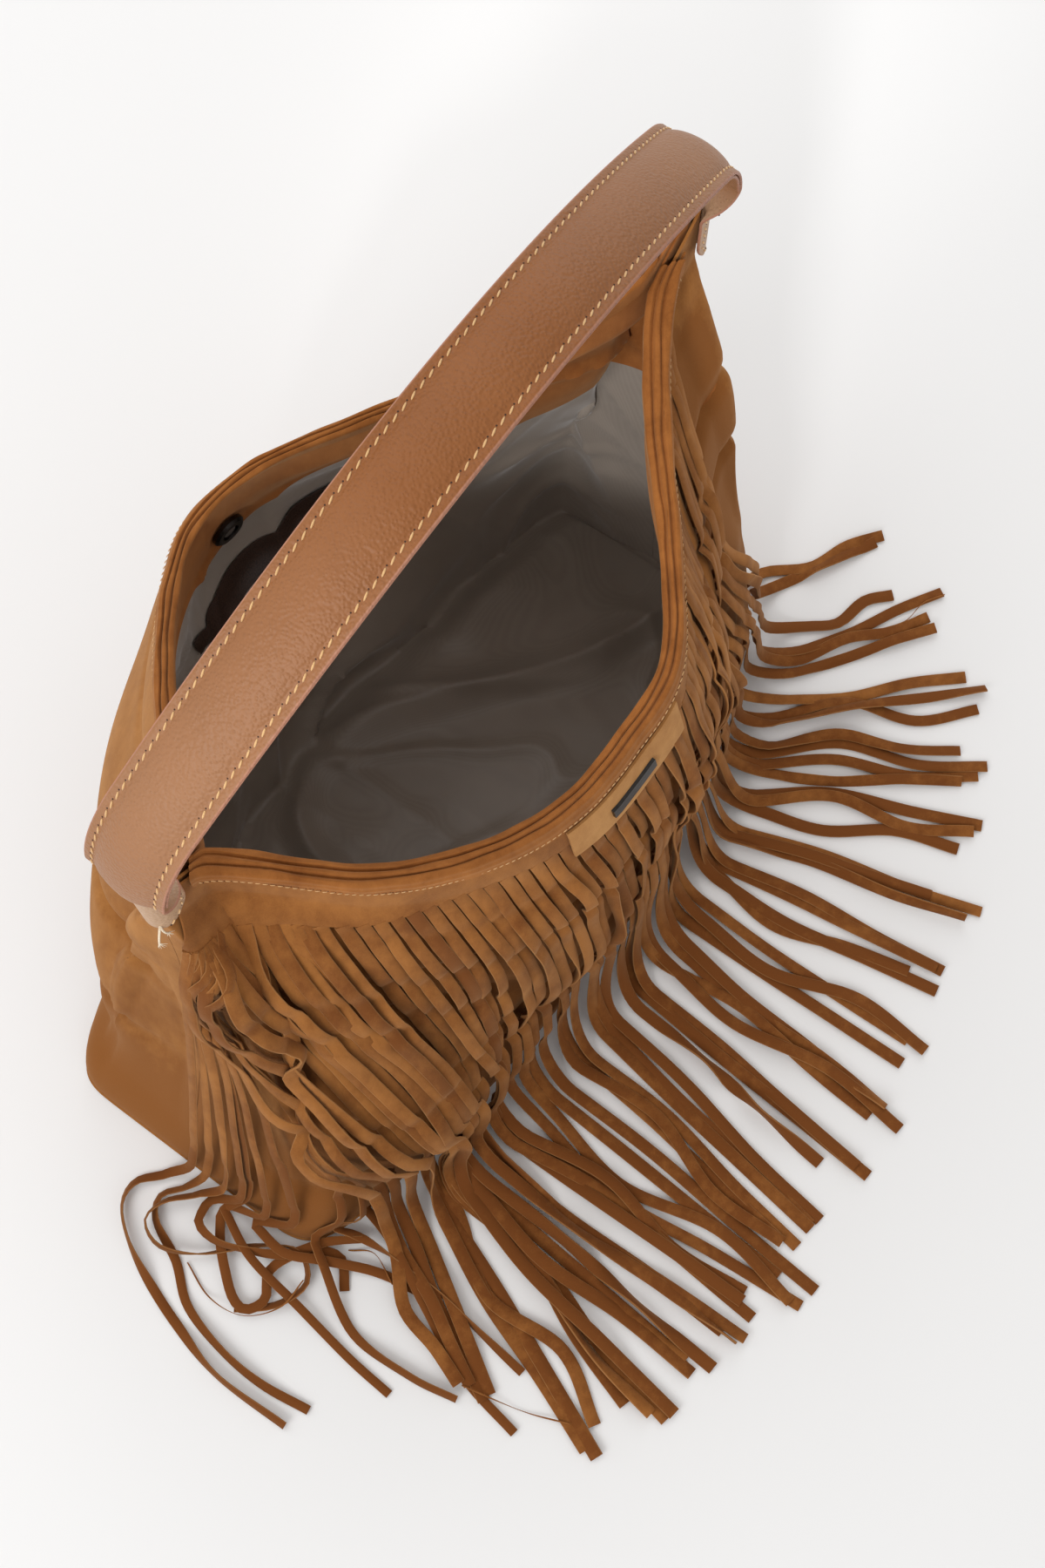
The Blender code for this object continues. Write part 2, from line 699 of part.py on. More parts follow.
def turned_piece(name, frame, profile, lift, *finish):
    """Turn a (radius, height) profile about the inward normal of a wall."""
    centre, along, up, outward = frame
    inward = -outward
    points, faces = [], []
    sides = ROUND_SIDES
    for radius, height in profile:
        for k in range(sides):
            angle = 2 * math.pi * k / sides
            points.append(centre + inward * (lift + height)
                          + (along * math.cos(angle) + up * math.sin(angle)) * radius)
    for j in range(len(profile) - 1):
        for k in range(sides):
            n = (k + 1) % sides
            faces.append((j * sides + k, j * sides + n, (j + 1) * sides + n, (j + 1) * sides + k))
    faces.append(tuple(range(sides)))
    last = (len(profile) - 1) * sides
    faces.append(tuple(last + k for k in range(sides)))
    add_object(name, points, faces, *finish)


def make_snap():
    """Magnetic snap: a cup with its magnet on the back facing, a plate and stud on the front."""
    radius = SNAP_DIAMETER / 2
    well = STUD_DIAMETER / 2 + 4 * GAP
    sag = FACING_CURVE * SNAP_DIAMETER ** 2
    back = wall_frame(BACK, SNAP_X, SNAP_DROP, FACING_IN)
    cup = [(radius * 0.5, 0.0), (radius, 0.0), (radius, SNAP_HEIGHT * 0.6),
           (radius * 0.85, SNAP_HEIGHT), (well, SNAP_HEIGHT), (well, SNAP_HEIGHT * 0.35),
           (well * 0.5, SNAP_HEIGHT * 0.35)]
    turned_piece("snap_socket", back, cup, GAP + sag, GUNMETAL, 0.3, 1.0)
    magnet = [(STUD_DIAMETER * 0.3, 0.0), (STUD_DIAMETER / 2, 0.0),
              (STUD_DIAMETER / 2, 0.0008), (STUD_DIAMETER * 0.3, 0.0010)]
    turned_piece("snap_magnet", back, magnet, GAP + sag + SNAP_HEIGHT * 0.35 + GAP,
                 NICKEL, 0.35, 1.0)
    front = wall_frame(FRONT, SNAP_X, SNAP_DROP, FACING_IN)
    plate = [(radius * 0.5, 0.0), (radius, 0.0), (radius * 0.94, 0.0010), (radius * 0.5, 0.0012)]
    turned_piece("snap_plate", front, plate, GAP + sag, GUNMETAL, 0.3, 1.0)
    stud = [(STUD_DIAMETER * 0.25, 0.0), (STUD_DIAMETER / 2, 0.0),
            (STUD_DIAMETER / 2, STUD_HEIGHT * 0.7), (STUD_DIAMETER * 0.25, STUD_HEIGHT)]
    turned_piece("snap_stud", front, stud, GAP + sag + 0.0012 + GAP, NICKEL, 0.3, 1.0)
    washer = (WASHER_DIAMETER, WASHER_DIAMETER * 0.8)
    for name, side in (("front_snap_washer", FRONT), ("back_snap_washer", BACK)):
        wall_patch(name, side, SNAP_X, SNAP_DROP, washer, FACING_OUT - GAP - WASHER, WASHER,
                   NICKEL, 0.4, 1.0)


def make_tab():
    """Suede tab over the fringe's band, with a plain metal bar on its middle."""
    depth = -(BAND_OUT + EDGE_GAP + SUEDE)
    drop = TAB_DROP + TAB_SIZE[1] / 2
    wall_patch("name_tab", FRONT, TAB_X, drop, TAB_SIZE, depth, SUEDE, SUEDE_COLOR)
    length, height, thickness = BAR_SIZE
    wall_patch("tab_bar", FRONT, TAB_X, drop, (length, height), depth - GAP - thickness, thickness,
               NICKEL, 0.3, 1.0)


def make_welt():
    """Dark leather welt of the pocket in the back lining."""
    wall_patch("pocket_welt", BACK, WELT_X, WELT_DROP, WELT_SIZE, LINING_IN + 2 * EDGE_GAP,
               WELT_THICKNESS, WELT_COLOR, 0.6)


for item in list(bpy.data.objects):
    bpy.data.objects.remove(item, do_unlink=True)

make_base()
make_panel("front_panel", FRONT)
make_panel("back_panel", BACK)
make_facing("front_facing", FRONT)
make_facing("back_facing", BACK)
make_lining()
make_binding("front_binding", FRONT)
make_binding("back_binding", BACK)
make_fringe()
make_strap()
make_snap()
make_tab()
make_welt()
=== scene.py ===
"""Looks of the fringed suede shoulder bag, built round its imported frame.

Metres, +Z up. X runs along the bag, with the tips of the mouth at its ends, and -Y is the front.
"""
import functools
import math

import bmesh
import bpy
import numpy as np
from mathutils import Matrix, Vector
from mathutils.kdtree import KDTree


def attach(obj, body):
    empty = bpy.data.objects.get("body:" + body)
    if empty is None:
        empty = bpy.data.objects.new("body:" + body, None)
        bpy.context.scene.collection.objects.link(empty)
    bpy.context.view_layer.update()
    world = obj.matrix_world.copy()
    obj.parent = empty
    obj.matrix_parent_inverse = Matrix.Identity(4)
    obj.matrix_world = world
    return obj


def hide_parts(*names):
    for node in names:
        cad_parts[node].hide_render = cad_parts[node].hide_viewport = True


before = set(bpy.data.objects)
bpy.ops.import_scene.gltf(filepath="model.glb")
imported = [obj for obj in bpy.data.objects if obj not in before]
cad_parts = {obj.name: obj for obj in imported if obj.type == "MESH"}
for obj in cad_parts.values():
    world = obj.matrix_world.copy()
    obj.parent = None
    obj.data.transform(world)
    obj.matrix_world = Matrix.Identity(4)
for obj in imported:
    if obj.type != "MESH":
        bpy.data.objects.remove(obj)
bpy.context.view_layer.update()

# Camera, floor and light.
# The camera looks steeply down into the mouth from beyond its left tip. The floor is plain and pale,
# under an even white room with soft lights on the left, on the right and above, and a narrow one that
# reaches into the mouth.
HEADING = math.radians(36.1)
TILT = math.radians(17.0)
CAMERA_PLACE = (-0.263, -0.237, 1.14)
LENS, SENSOR = 50.0, 36.0
FLOOR_SIZE, FLOOR_DROP = 40.0, 0.0004

ahead = np.array([math.cos(HEADING), math.sin(HEADING), 0.0])
plumb = np.array([0.0, 0.0, 1.0])
look = ahead * math.sin(TILT) - plumb * math.cos(TILT)
top = ahead * math.cos(TILT) + plumb * math.sin(TILT)
camera = bpy.data.objects.new("camera", bpy.data.cameras.new("camera"))
bpy.context.scene.collection.objects.link(camera)
camera.data.lens = LENS
camera.data.sensor_width = SENSOR
camera.data.clip_start = 0.01
turned = np.eye(4)
turned[:3] = np.column_stack([np.cross(look, top), top, -look, CAMERA_PLACE])
camera.matrix_world = Matrix(turned.tolist())
bpy.context.scene.camera = camera
bpy.context.scene.view_settings.view_transform = "Standard"


def node(tree, kind, values=None, **settings):
    """Add a node with its settings, and give its inputs values or links."""
    item = tree.nodes.new(kind)
    for name, value in settings.items():
        setattr(item, name, value)
    for key, value in (values or {}).items():
        if isinstance(value, bpy.types.NodeSocket):
            tree.links.new(value, item.inputs[key])
        else:
            item.inputs[key].default_value = value
    return item


def calc(tree, operation, *values):
    return node(tree, "ShaderNodeMath", dict(enumerate(values)), operation=operation).outputs[0]


def colour_mix(tree, share, first, second):
    """Colour between two plain colours or colour sockets."""
    first, second = [(*end, 1.0) if isinstance(end, tuple) else end for end in (first, second)]
    return node(tree, "ShaderNodeMix", {0: share, "A": first, "B": second},
                data_type="RGBA").outputs["Result"]


def noise(tree, place, scale, detail=2.0, roughness=0.5, distortion=0.0):
    """Cloudy texture from 0 to 1."""
    return node(tree, "ShaderNodeTexNoise", {
        "Vector": place, "Scale": scale, "Detail": detail, "Roughness": roughness,
        "Distortion": distortion}).outputs["Fac"]


def ranged(tree, value, low, high, start=0.0, stop=1.0):
    """Value brought from the range of start to stop to the range of low to high."""
    return node(tree, "ShaderNodeMapRange", {
        "Value": value, "From Min": start, "From Max": stop,
        "To Min": low, "To Max": high}).outputs["Result"]


def object_place(tree):
    return node(tree, "ShaderNodeTexCoord").outputs["Object"]


def new_material(name, **shader_values):
    """Material with a Principled shader whose plain values are set on its own sockets."""
    material = bpy.data.materials.new(name)
    material.use_nodes = True
    shader = material.node_tree.nodes["Principled BSDF"]
    for key, value in shader_values.items():
        shader.inputs[key.replace("_", " ")].default_value = value
    return material, material.node_tree


def paint(tree, colour, roughness=None, height=None, strength=0.5, depth=0.0001, invert=False):
    """Link a colour, a roughness and a raised texture to a material's shader."""
    links = {"Base Color": colour}
    if roughness is not None:
        links["Roughness"] = roughness
    if height is not None:
        links["Normal"] = node(tree, "ShaderNodeBump", {
            "Height": height, "Strength": strength, "Distance": depth}, invert=invert).outputs["Normal"]
    for name, socket in links.items():
        tree.links.new(socket, tree.nodes["Principled BSDF"].inputs[name])


floor_paint, tree = new_material("floor_paint", Roughness=0.9, Specular_IOR_Level=0.2)
paint(tree, colour_mix(tree, noise(tree, object_place(tree), 2.0), (0.81,) * 3, (0.83,) * 3))
bpy.ops.mesh.primitive_plane_add(size=FLOOR_SIZE, location=(0.0, 0.0, -FLOOR_DROP))
floor = bpy.context.object
floor.name = "floor"
floor.data.materials.append(floor_paint)

room = bpy.data.worlds.new("room")
bpy.context.scene.world = room
room.use_nodes = True
room.node_tree.nodes["Background"].inputs["Color"].default_value = (1.0, 0.99, 0.98, 1.0)
room.node_tree.nodes["Background"].inputs["Strength"].default_value = 0.74


def soft_light(name, kind, place, aim, power, **settings):
    """Soft light at a place, aimed at a point."""
    lamp = bpy.data.objects.new(name, bpy.data.lights.new(name, kind))
    lamp.data.energy = power
    for key, value in settings.items():
        setattr(lamp.data, key, value)
    lamp.location = place
    lamp.rotation_euler = (Vector(aim) - Vector(place)).to_track_quat("-Z", "Y").to_euler()
    bpy.context.scene.collection.objects.link(lamp)


soft_light("left_softbox", "AREA", (-1.7, 0.1, 1.35), (0.1, 0.0, 0.15), 15.0, size=1.0)
soft_light("inside_spot", "SPOT", (-1.35, -0.55, 1.35), (0.12, 0.0, 0.23), 60.0,
           spot_size=math.radians(13.0), spot_blend=1.0, shadow_soft_size=0.12)
soft_light("right_softbox", "AREA", (1.9, 0.9, 1.3), (0.1, 0.0, 0.4), 11.0, size=1.6)
soft_light("top_softbox", "AREA", (0.2, 1.2, 2.2), (0.0, 0.0, 0.1), 12.0, size=1.6)

# Suede body: front, back and base.
# Two soft caramel suede halves, each with half of both boxed ends, are sewn together at the ends and
# to a flat oblong base. They slouch between the base and the turned mouth.
FRONT, BACK = -1, 1
BASE_LENGTH, BELLY_LENGTH, MOUTH_LENGTH = 0.421, 0.366, 0.371
FRONT_REACH = (0.108, 0.135, 0.1005)
BACK_REACH = (0.100, 0.165, 0.106)
BASE_END_WIDTH, BELLY_END_WIDTH, TIP_WIDTH = 0.138, 0.136, 0.0090
BASE_SHIFT = (-0.039, -0.013)
EDGE_HEIGHT = {FRONT: 0.245, BACK: 0.270}
TIP_HEIGHT = 0.335
PINCH_LENGTH = 0.024
BULGE_POWERS = (0.42, 1.0)
CORNER_POWERS = (20.0, 14.0)
# Share of its side's reach that the mouth's edge has at even places from the left tip to the right.
EDGE_SHARES = {
    FRONT: (0.0, 0.53, 0.825, 0.975, 1.0, 0.955, 0.65, 0.27, 0.0),
    BACK: (0.0, 0.44, 0.785, 0.99, 0.955, 0.735, 0.46, 0.21, 0.0)}
WALL_FOOT = 0.0023
PINCH_START = 1.0 - 0.037 / (TIP_HEIGHT - WALL_FOOT)
SUEDE = 0.0014
END_COLUMNS, FACE_COLUMNS = 4, 26
COLUMNS = 2 * END_COLUMNS + FACE_COLUMNS
FINE = 8
PLACES = np.linspace(0.0, COLUMNS, COLUMNS * FINE + 1)
LEVELS = np.concatenate([np.linspace(0.0, PINCH_START, 56), np.linspace(PINCH_START, 1.0, 9)[1:]])
TURN_STEPS = 60
LEAST_HALF_DEPTH = 0.00015
FACE_SHARES = (0.25, 0.75)


def curve_between(start, control, end, v):
    return (1 - v) ** 2 * start + 2 * v * (1 - v) * control + v ** 2 * end


def smooth(value):
    value = np.clip(value, 0.0, 1.0)
    return value * value * (3 - 2 * value)


def half_length(v):
    return curve_between(BASE_LENGTH, BELLY_LENGTH, MOUTH_LENGTH, min(1.0, v / PINCH_START)) / 2


def mouth_height(side, x, half=MOUTH_LENGTH / 2):
    """Height of the mouth's edge over a point along the bag."""
    along = np.minimum(1.0, np.abs(x) / half)
    return EDGE_HEIGHT[side] + (TIP_HEIGHT - EDGE_HEIGHT[side]) * along ** 2


def edge_share(side, across):
    """Smooth curve through the mouth's reaches, for across from -1 to 1."""
    table = np.array(EDGE_SHARES[side])
    spot = (across + 1) / 2 * (len(table) - 1)
    start = np.minimum(spot.astype(int), len(table) - 2)
    step = spot - start
    before, here = table[np.maximum(start - 1, 0)], table[start]
    there, after = table[start + 1], table[np.minimum(start + 2, len(table) - 1)]
    lift, fall = (there - before) / 2, (after - here) / 2
    share = (here * (1 + 2 * step) * (1 - step) ** 2 + lift * step * (1 - step) ** 2
             + there * step ** 2 * (3 - 2 * step) + fall * step ** 2 * (step - 1))
    return np.maximum(0.0, share)


def outline(side, v, depth, turn, hang):
    """One half of the body's section at a height, a depth inwards from the suede's outer face."""
    below = min(1.0, v / PINCH_START)
    power = CORNER_POWERS[0] + (CORNER_POWERS[1] - CORNER_POWERS[0]) * below ** 3
    cosine, sine = np.cos(turn), np.sin(turn)
    reach = (np.abs(cosine) ** power + np.abs(sine) ** power) ** (-1 / power)
    length = half_length(v) - depth
    end = curve_between(BASE_END_WIDTH, BELLY_END_WIDTH, TIP_WIDTH, below) / 2 - depth
    x = -length * cosine * reach
    across = np.clip(x / (length - PINCH_LENGTH * below), -1.0, 1.0)
    left, other = BULGE_POWERS
    bulge = np.maximum(0.0, np.cos(math.pi / 2 * across)) ** (left + (other - left) * (across + 1) / 2)
    bulge = bulge + (edge_share(side, across) - bulge) * below ** 3
    deep = curve_between(*(FRONT_REACH if side == FRONT else BACK_REACH), v)
    deep -= depth + hang * math.sin(math.pi * v)
    return x, side * np.maximum((end + (deep - end) * bulge) * sine * reach, LEAST_HALF_DEPTH)


def even_points(points, steps):
    run = np.concatenate([[0.0], np.cumsum(np.linalg.norm(np.diff(points, axis=0), axis=1))])
    wanted = np.linspace(0.0, run[-1], steps + 1)
    return np.stack([np.interp(wanted, run, points[:, k]) for k in range(points.shape[1])], 1)


@functools.cache
def wall_table(side, depth, hang):
    """Fine grid of one half of the body, evenly spaced along each section."""
    rows = []
    for v in LEVELS:
        parts = []
        for first, last, steps in ((0, FACE_SHARES[0], END_COLUMNS), (*FACE_SHARES, FACE_COLUMNS),
                                   (FACE_SHARES[1], 1.0, END_COLUMNS)):
            turn = np.linspace(first * math.pi, last * math.pi, TURN_STEPS * steps)
            x, y = outline(side, v, depth, turn, hang)
            part = even_points(np.stack([x, y], 1), steps * FINE)
            parts.append(part if not parts else part[1:])
        x, y = np.concatenate(parts).T
        seam = min(MOUTH_LENGTH / 2, half_length(v) - depth)
        z = WALL_FOOT + v * (mouth_height(side, x, seam) - WALL_FOOT)
        fade = (1 - min(1.0, v / PINCH_START)) ** 2
        rows.append(np.stack([x + BASE_SHIFT[0] * fade, y + BASE_SHIFT[1] * fade, z], 1))
    return np.array(rows)


def wall(side, column, v, depth=0.0, hang=0.0):
    """Points of a wall at columns from 0 to 34 and heights from 0, the base, to 1, the mouth."""
    table = wall_table(side, round(depth, 6), hang)
    column, v = np.broadcast_arrays(column, v)
    i = np.clip(column * FINE, 0, COLUMNS * FINE - 1e-6)
    j = np.clip(np.interp(v, LEVELS, np.arange(len(LEVELS))), 0, len(LEVELS) - 1 - 1e-6)
    i0, j0 = i.astype(int), j.astype(int)
    a, b = (i - i0)[..., None], (j - j0)[..., None]
    low = table[j0, i0] * (1 - a) + table[j0, i0 + 1] * a
    high = table[j0 + 1, i0] * (1 - a) + table[j0 + 1, i0 + 1] * a
    return low * (1 - b) + high * b


def ripple(x, y, seed, size, count=12):
    """Smooth uneven field, mostly between -1 and 1, with bumps about size across."""
    rng = np.random.default_rng(seed)
    total = np.zeros(np.broadcast(x, y).shape)
    for _ in range(count):
        angle, wave = rng.uniform(0, 2 * math.pi), rng.uniform(0.6, 1.5) * 2 * math.pi / size
        total += np.sin((x * math.cos(angle) + y * math.sin(angle)) * wave + rng.uniform(0, 6.3))
    return total / math.sqrt(count)


COLUMN_WIDTH, WALL_HEIGHT = 0.015, 0.30
# Round the left end, columns count from its seam, with the back positive. A crease has its column,
# its lean and its depth. A dent has its depth, its column and spread, and its height and spread.
CREASES = ((0.9, 1.6, 0.0035), (2.7, -2.2, 0.0030), (3.6, 0.8, 0.0025))
END_DENTS = ((0.011, 1.7, 1.5, 0.24, 0.17), (0.005, -1.9, 1.0, 0.42, 0.22),
             (0.011, 4.4, 1.5, 0.11, 0.06), (0.005, 4.4, 2.0, 0.24, 0.12))
FRONT_DENT = (0.010, 25.5, 3.4, 0.50, 0.28)


def slouch(side, column, v):
    """How far the soft suede stands in or out of its plain shape."""
    x, y = column * COLUMN_WIDTH * side, v * WALL_HEIGHT
    hold = smooth(np.minimum(column, COLUMNS - column) / 4.0) * smooth(v / 0.16)
    hold = hold * smooth((0.93 - v) / 0.30)
    broad = ripple(x, y * 1.5, 5 + side, 0.17) * 0.0048
    crease = np.clip(1 - np.abs(ripple(x * 0.7, y * 1.6, 21 + side, 0.17)) * 1.8, 0, 1) ** 2
    end_way = np.where(side == BACK, column, -column)
    dents = [(end_way, *dent) for dent in END_DENTS]
    if side == FRONT:
        dents.append((column, *FRONT_DENT))
    dent = 0.0
    for way, deep, spot, spread, level, height in dents:
        dent = dent + deep * np.exp(-((way - spot) / spread) ** 2 - ((v - level) / height) ** 2)
    for line, lean, deep in CREASES:
        off = np.abs(end_way - line - lean * (v - 0.3))
        dent = dent + deep * np.exp(-off / 0.35) * np.exp(-((v - 0.33) / 0.20) ** 2)
    return hold * (broad - 0.0042 * crease) - dent * smooth(v / 0.08)


def unit(vectors, least=1e-12):
    return vectors / np.maximum(np.linalg.norm(vectors, axis=-1, keepdims=True), least)


def outward(grid, side):
    """Unit normals of a wall grid, whose rows go up and columns go towards +X."""
    return unit(np.cross(np.gradient(grid, axis=1), np.gradient(grid, axis=0))) * -side


def body_layer(side, column, v, depth=0.0, hang=0.0, lift=0.0):
    """Wall grid with the slouch of the suede, and its normals."""
    grid = wall(side, column, v, depth, hang)
    normals = outward(grid, side)
    amount = slouch(side, column, v) + lift
    return grid + normals * amount[..., None], normals


def add_mesh(name, points, faces, material, sharp=40.0):
    """Mesh object whose faces point outwards, with its material."""
    mesh = bpy.data.meshes.new(name)
    mesh.from_pydata(np.asarray(points, float).tolist(), [], faces)
    work = bmesh.new()
    work.from_mesh(mesh)
    bmesh.ops.remove_doubles(work, verts=work.verts, dist=0.00002)
    bmesh.ops.recalc_face_normals(work, faces=work.faces)
    work.to_mesh(mesh)
    work.free()
    mesh.shade_smooth()
    mesh.set_sharp_from_angle(angle=math.radians(sharp))
    mesh.materials.append(material)
    item = bpy.data.objects.new(name, mesh)
    bpy.context.scene.collection.objects.link(item)
    return item


def grid_faces(rows, columns, start=0, flip=False, closed=False):
    faces = []
    for j in range(rows - 1):
        for i in range(columns if closed else columns - 1):
            a, b = start + j * columns + i, start + j * columns + (i + 1) % columns
            face = (a, b, b + columns, a + columns)
            faces.append(face[::-1] if flip else face)
    return faces


def thin_shell(name, outer, inner, material, sharp=40.0):
    """Close an outer and an inner grid of points into one thin body."""
    rows, columns = outer.shape[:2]
    shift = rows * columns
    faces = grid_faces(rows, columns) + grid_faces(rows, columns, shift, flip=True)
    rim = list(range(columns)) + [j * columns + columns - 1 for j in range(1, rows)]
    rim += [(rows - 1) * columns + i for i in range(columns - 2, -1, -1)]
    rim += [j * columns for j in range(rows - 2, 0, -1)]
    faces += [(b, a, a + shift, b + shift) for a, b in zip(rim, rim[1:] + rim[:1])]
    return add_mesh(name, np.concatenate([outer.reshape(-1, 3), inner.reshape(-1, 3)]), faces,
                    material, sharp)


def new_group(name, kind, inputs, outputs):
    """Node group with named inputs and outputs, and the sockets of its inputs."""
    group = bpy.data.node_groups.new(name, kind)
    for way, sockets in (("INPUT", inputs), ("OUTPUT", outputs)):
        for socket, value_kind in sockets.items():
            group.interface.new_socket(socket, in_out=way, socket_type=f"NodeSocket{value_kind}")
    return group, node(group, "NodeGroupInput").outputs


def suede_nap():
    """Node group of brushed suede: cloudy nap, soft strokes and fine fibres."""
    group, given = new_group(
        "suede_nap", "ShaderNodeTree",
        {"Light": "Color", "Dark": "Color", "Tone": "Float", "Patch size": "Float"},
        {"Color": "Color", "Roughness": "Float", "Height": "Float"})
    place = object_place(group)
    cloud = noise(group, place, given["Patch size"], 4.0, 0.6, 0.6)
    stretched = node(group, "ShaderNodeMapping", {"Vector": place, "Scale": (1.0, 1.0, 0.3)}).outputs[0]
    stroke = noise(group, stretched, 160.0, 3.0, 0.65)
    fibre = noise(group, place, 1500.0, 2.0, 0.7)
    share = calc(group, "MULTIPLY", cloud, 0.55)
    share = calc(group, "MULTIPLY_ADD", stroke, 0.30, share)
    share = calc(group, "MULTIPLY_ADD", fibre, 0.15, share)
    share = ranged(group, calc(group, "ADD", share, given["Tone"]), 0.0, 1.0, 0.36, 0.64)
    node(group, "NodeGroupOutput", {
        "Color": colour_mix(group, share, given["Dark"], given["Light"]),
        "Roughness": ranged(group, fibre, 0.85, 1.0),
        "Height": calc(group, "MULTIPLY_ADD", stroke, 0.6, fibre)})
    return group


SUEDE_NAP = suede_nap()


def suede_material(name, light, dark, patch, bump=0.0002):
    """Caramel suede with a short nap."""
    material, tree = new_material(name, Sheen_Weight=0.22, Sheen_Roughness=0.45,
                                  Sheen_Tint=(1.0, 0.66, 0.36, 1.0), Specular_IOR_Level=0.15)
    nap = node(tree, "ShaderNodeGroup", {"Light": (*light, 1.0), "Dark": (*dark, 1.0),
                                         "Patch size": patch}, node_tree=SUEDE_NAP)
    paint(tree, nap.outputs["Color"], nap.outputs["Roughness"], nap.outputs["Height"], 0.6, bump)
    return material, tree, nap


def mask(tree, name):
    return node(tree, "ShaderNodeAttribute", attribute_name=name).outputs["Fac"]


body_suede, tree, nap = suede_material("body_suede", (0.370, 0.157, 0.042), (0.225, 0.080, 0.018),
                                       16.0, 0.00025)
# The attribute darkens the nap with painted shade near the base and under the fringe.
tree.links.new(mask(tree, "tone_and_shade"), nap.inputs["Tone"])

PANEL_HEIGHTS = np.concatenate([np.linspace(0.0, 0.9, 84), np.linspace(0.9, 1.0, 14)[1:]])
FOOT_TURN = 0.0011
# Depths of the painted shade near the base and where the fringe hangs over the front.
FOOT_SHADE, FRINGE_SHADE = 0.34, 0.55

columns, levels = np.meshgrid(PLACES, PANEL_HEIGHTS)
for name, side in (("front_panel", FRONT), ("back_panel", BACK)):
    turned_in = -FOOT_TURN * (1 - smooth(levels / 0.012))
    outer, normals = body_layer(side, columns, levels, lift=turned_in)
    panel = thin_shell(f"suede_{name}", outer, outer - normals * SUEDE * 0.95, body_suede)
    # Painted shade: the panels darken towards the base, and the front darkens further where the fringe hangs
    # over it.
    panel_shade = FOOT_SHADE * smooth((0.34 - levels) / 0.34)
    if side == FRONT:
        covered = smooth((columns - 2.5) / 3.0) * smooth((31.5 - columns) / 3.5)
        panel_shade = np.maximum(panel_shade, FRINGE_SHADE * covered * smooth((0.88 - levels) / 0.1))
    panel.data.attributes.new("tone_and_shade", "FLOAT", "POINT").data.foreach_set(
        "value", np.tile(-panel_shade.ravel(), 2).astype(np.float32))
    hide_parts(name)
    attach(panel, "root")

BASE_ROUNDING = ((0.0016, 0.0), (0.0004, 0.0004), (0.0, 0.0010), (0.0004, 0.0017), (0.0016, 0.0021))

front_foot = wall_table(FRONT, 0.0, 0.0)[0][:, :2]
back_foot = wall_table(BACK, 0.0, 0.0)[0][:, :2]
ring = np.concatenate([front_foot, back_foot[-2:0:-1]])
middle = ring.mean(0)
toward = unit(middle - ring)
rings = [np.column_stack([ring + toward * inset, np.full(len(ring), z)]) for inset, z in BASE_ROUNDING]
size = len(ring)
points = np.concatenate([*rings, [(*middle, BASE_ROUNDING[0][1]), (*middle, BASE_ROUNDING[-1][1])]])
under, over = len(points) - 2, len(points) - 1
faces = grid_faces(len(rings), size, closed=True)
for i in range(size):
    j = (i + 1) % size
    faces.append((j, i, under))
    faces.append((under - size + i, under - size + j, over))
base = add_mesh("suede_base", points, faces, body_suede)
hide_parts("base_panel")
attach(base, "root")

# Facings inside the mouth.
# Suede strips are sewn behind the edge on both sides. They run down deep at both ends, and lower
# round the magnetic snap, and their lower edge is rolled where the lining is sewn on.
LOOSE_GAP, FACING, LINING = 0.0013, 0.0012, 0.0006
FACING_OUT = SUEDE + LOOSE_GAP
FACING_IN = FACING_OUT + FACING
HANG = {FRONT: 0.0, BACK: 0.018}
SNAP_X = -0.019
FACING_START = MOUTH_LENGTH / 2 - 0.0675
BACK_RIGHT_START = 0.078
FACING_BAND = {FRONT: 0.030, BACK: 0.040}
FACING_END_DROP, SNAP_DROP = 0.150, 0.027


def drop_to_v(side, x, drop):
    return 1.0 - drop / (mouth_height(side, x) - WALL_FOOT)


def facing_foot(side, column):
    """Height of the facing's lower edge at a column."""
    x = wall(side, column, 1.0)[..., 0]
    start = np.where((x > 0) & (side == BACK), BACK_RIGHT_START, FACING_START)
    ends = smooth((np.abs(x) - start) / 0.045)
    band = FACING_BAND[side]
    drop = band + (FACING_END_DROP - band) * ends + SNAP_DROP * np.exp(-((x - SNAP_X) / 0.045) ** 2)
    return np.minimum(drop_to_v(side, x, drop), PINCH_START - 0.012)


facing_suede = suede_material("facing_suede", (0.38, 0.140, 0.037), (0.23, 0.074, 0.017), 20.0)[0]
for name, side in (("front_facing", FRONT), ("back_facing", BACK)):
    share, columns = np.meshgrid(np.linspace(0.0, 1.0, 40), PLACES, indexing="ij")
    foot = facing_foot(side, columns)
    levels = foot + (1.0 - foot) * share
    seam_roll = -0.0010 * np.exp(-(share / 0.05) ** 2)
    uneven = ripple(columns * COLUMN_WIDTH, levels * WALL_HEIGHT, 41 + side, 0.06) * 0.0005
    inner, normals = body_layer(side, columns, levels, FACING_IN, HANG[side], seam_roll + uneven)
    facing = thin_shell(f"suede_{name}", inner + normals * FACING * 0.9, inner, facing_suede)
    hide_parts(name)
    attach(facing, "root")

# Lining.
# A taupe grey cloth bag hangs from the facings. Its walls hang loose in soft upright folds, and its
# bottom lies on the base in shallow creases.
lining_cloth, tree = new_material("lining_cloth", Roughness=0.42, Sheen_Weight=0.5, Sheen_Roughness=0.4)
place = object_place(tree)
threads = [node(tree, "ShaderNodeTexWave", {
    "Vector": place, "Scale": 500.0, "Distortion": 0.6,
    "Detail": 1.0}, bands_direction=direction).outputs["Fac"] for direction in ("X", "Z")]
weave = calc(tree, "MULTIPLY", *threads)
share = calc(tree, "MULTIPLY_ADD", weave, 0.35, noise(tree, place, 18.0, 3.0))
paint(tree, colour_mix(tree, share, (0.27, 0.225, 0.185), (0.40, 0.345, 0.295)), None, weave, 0.25)


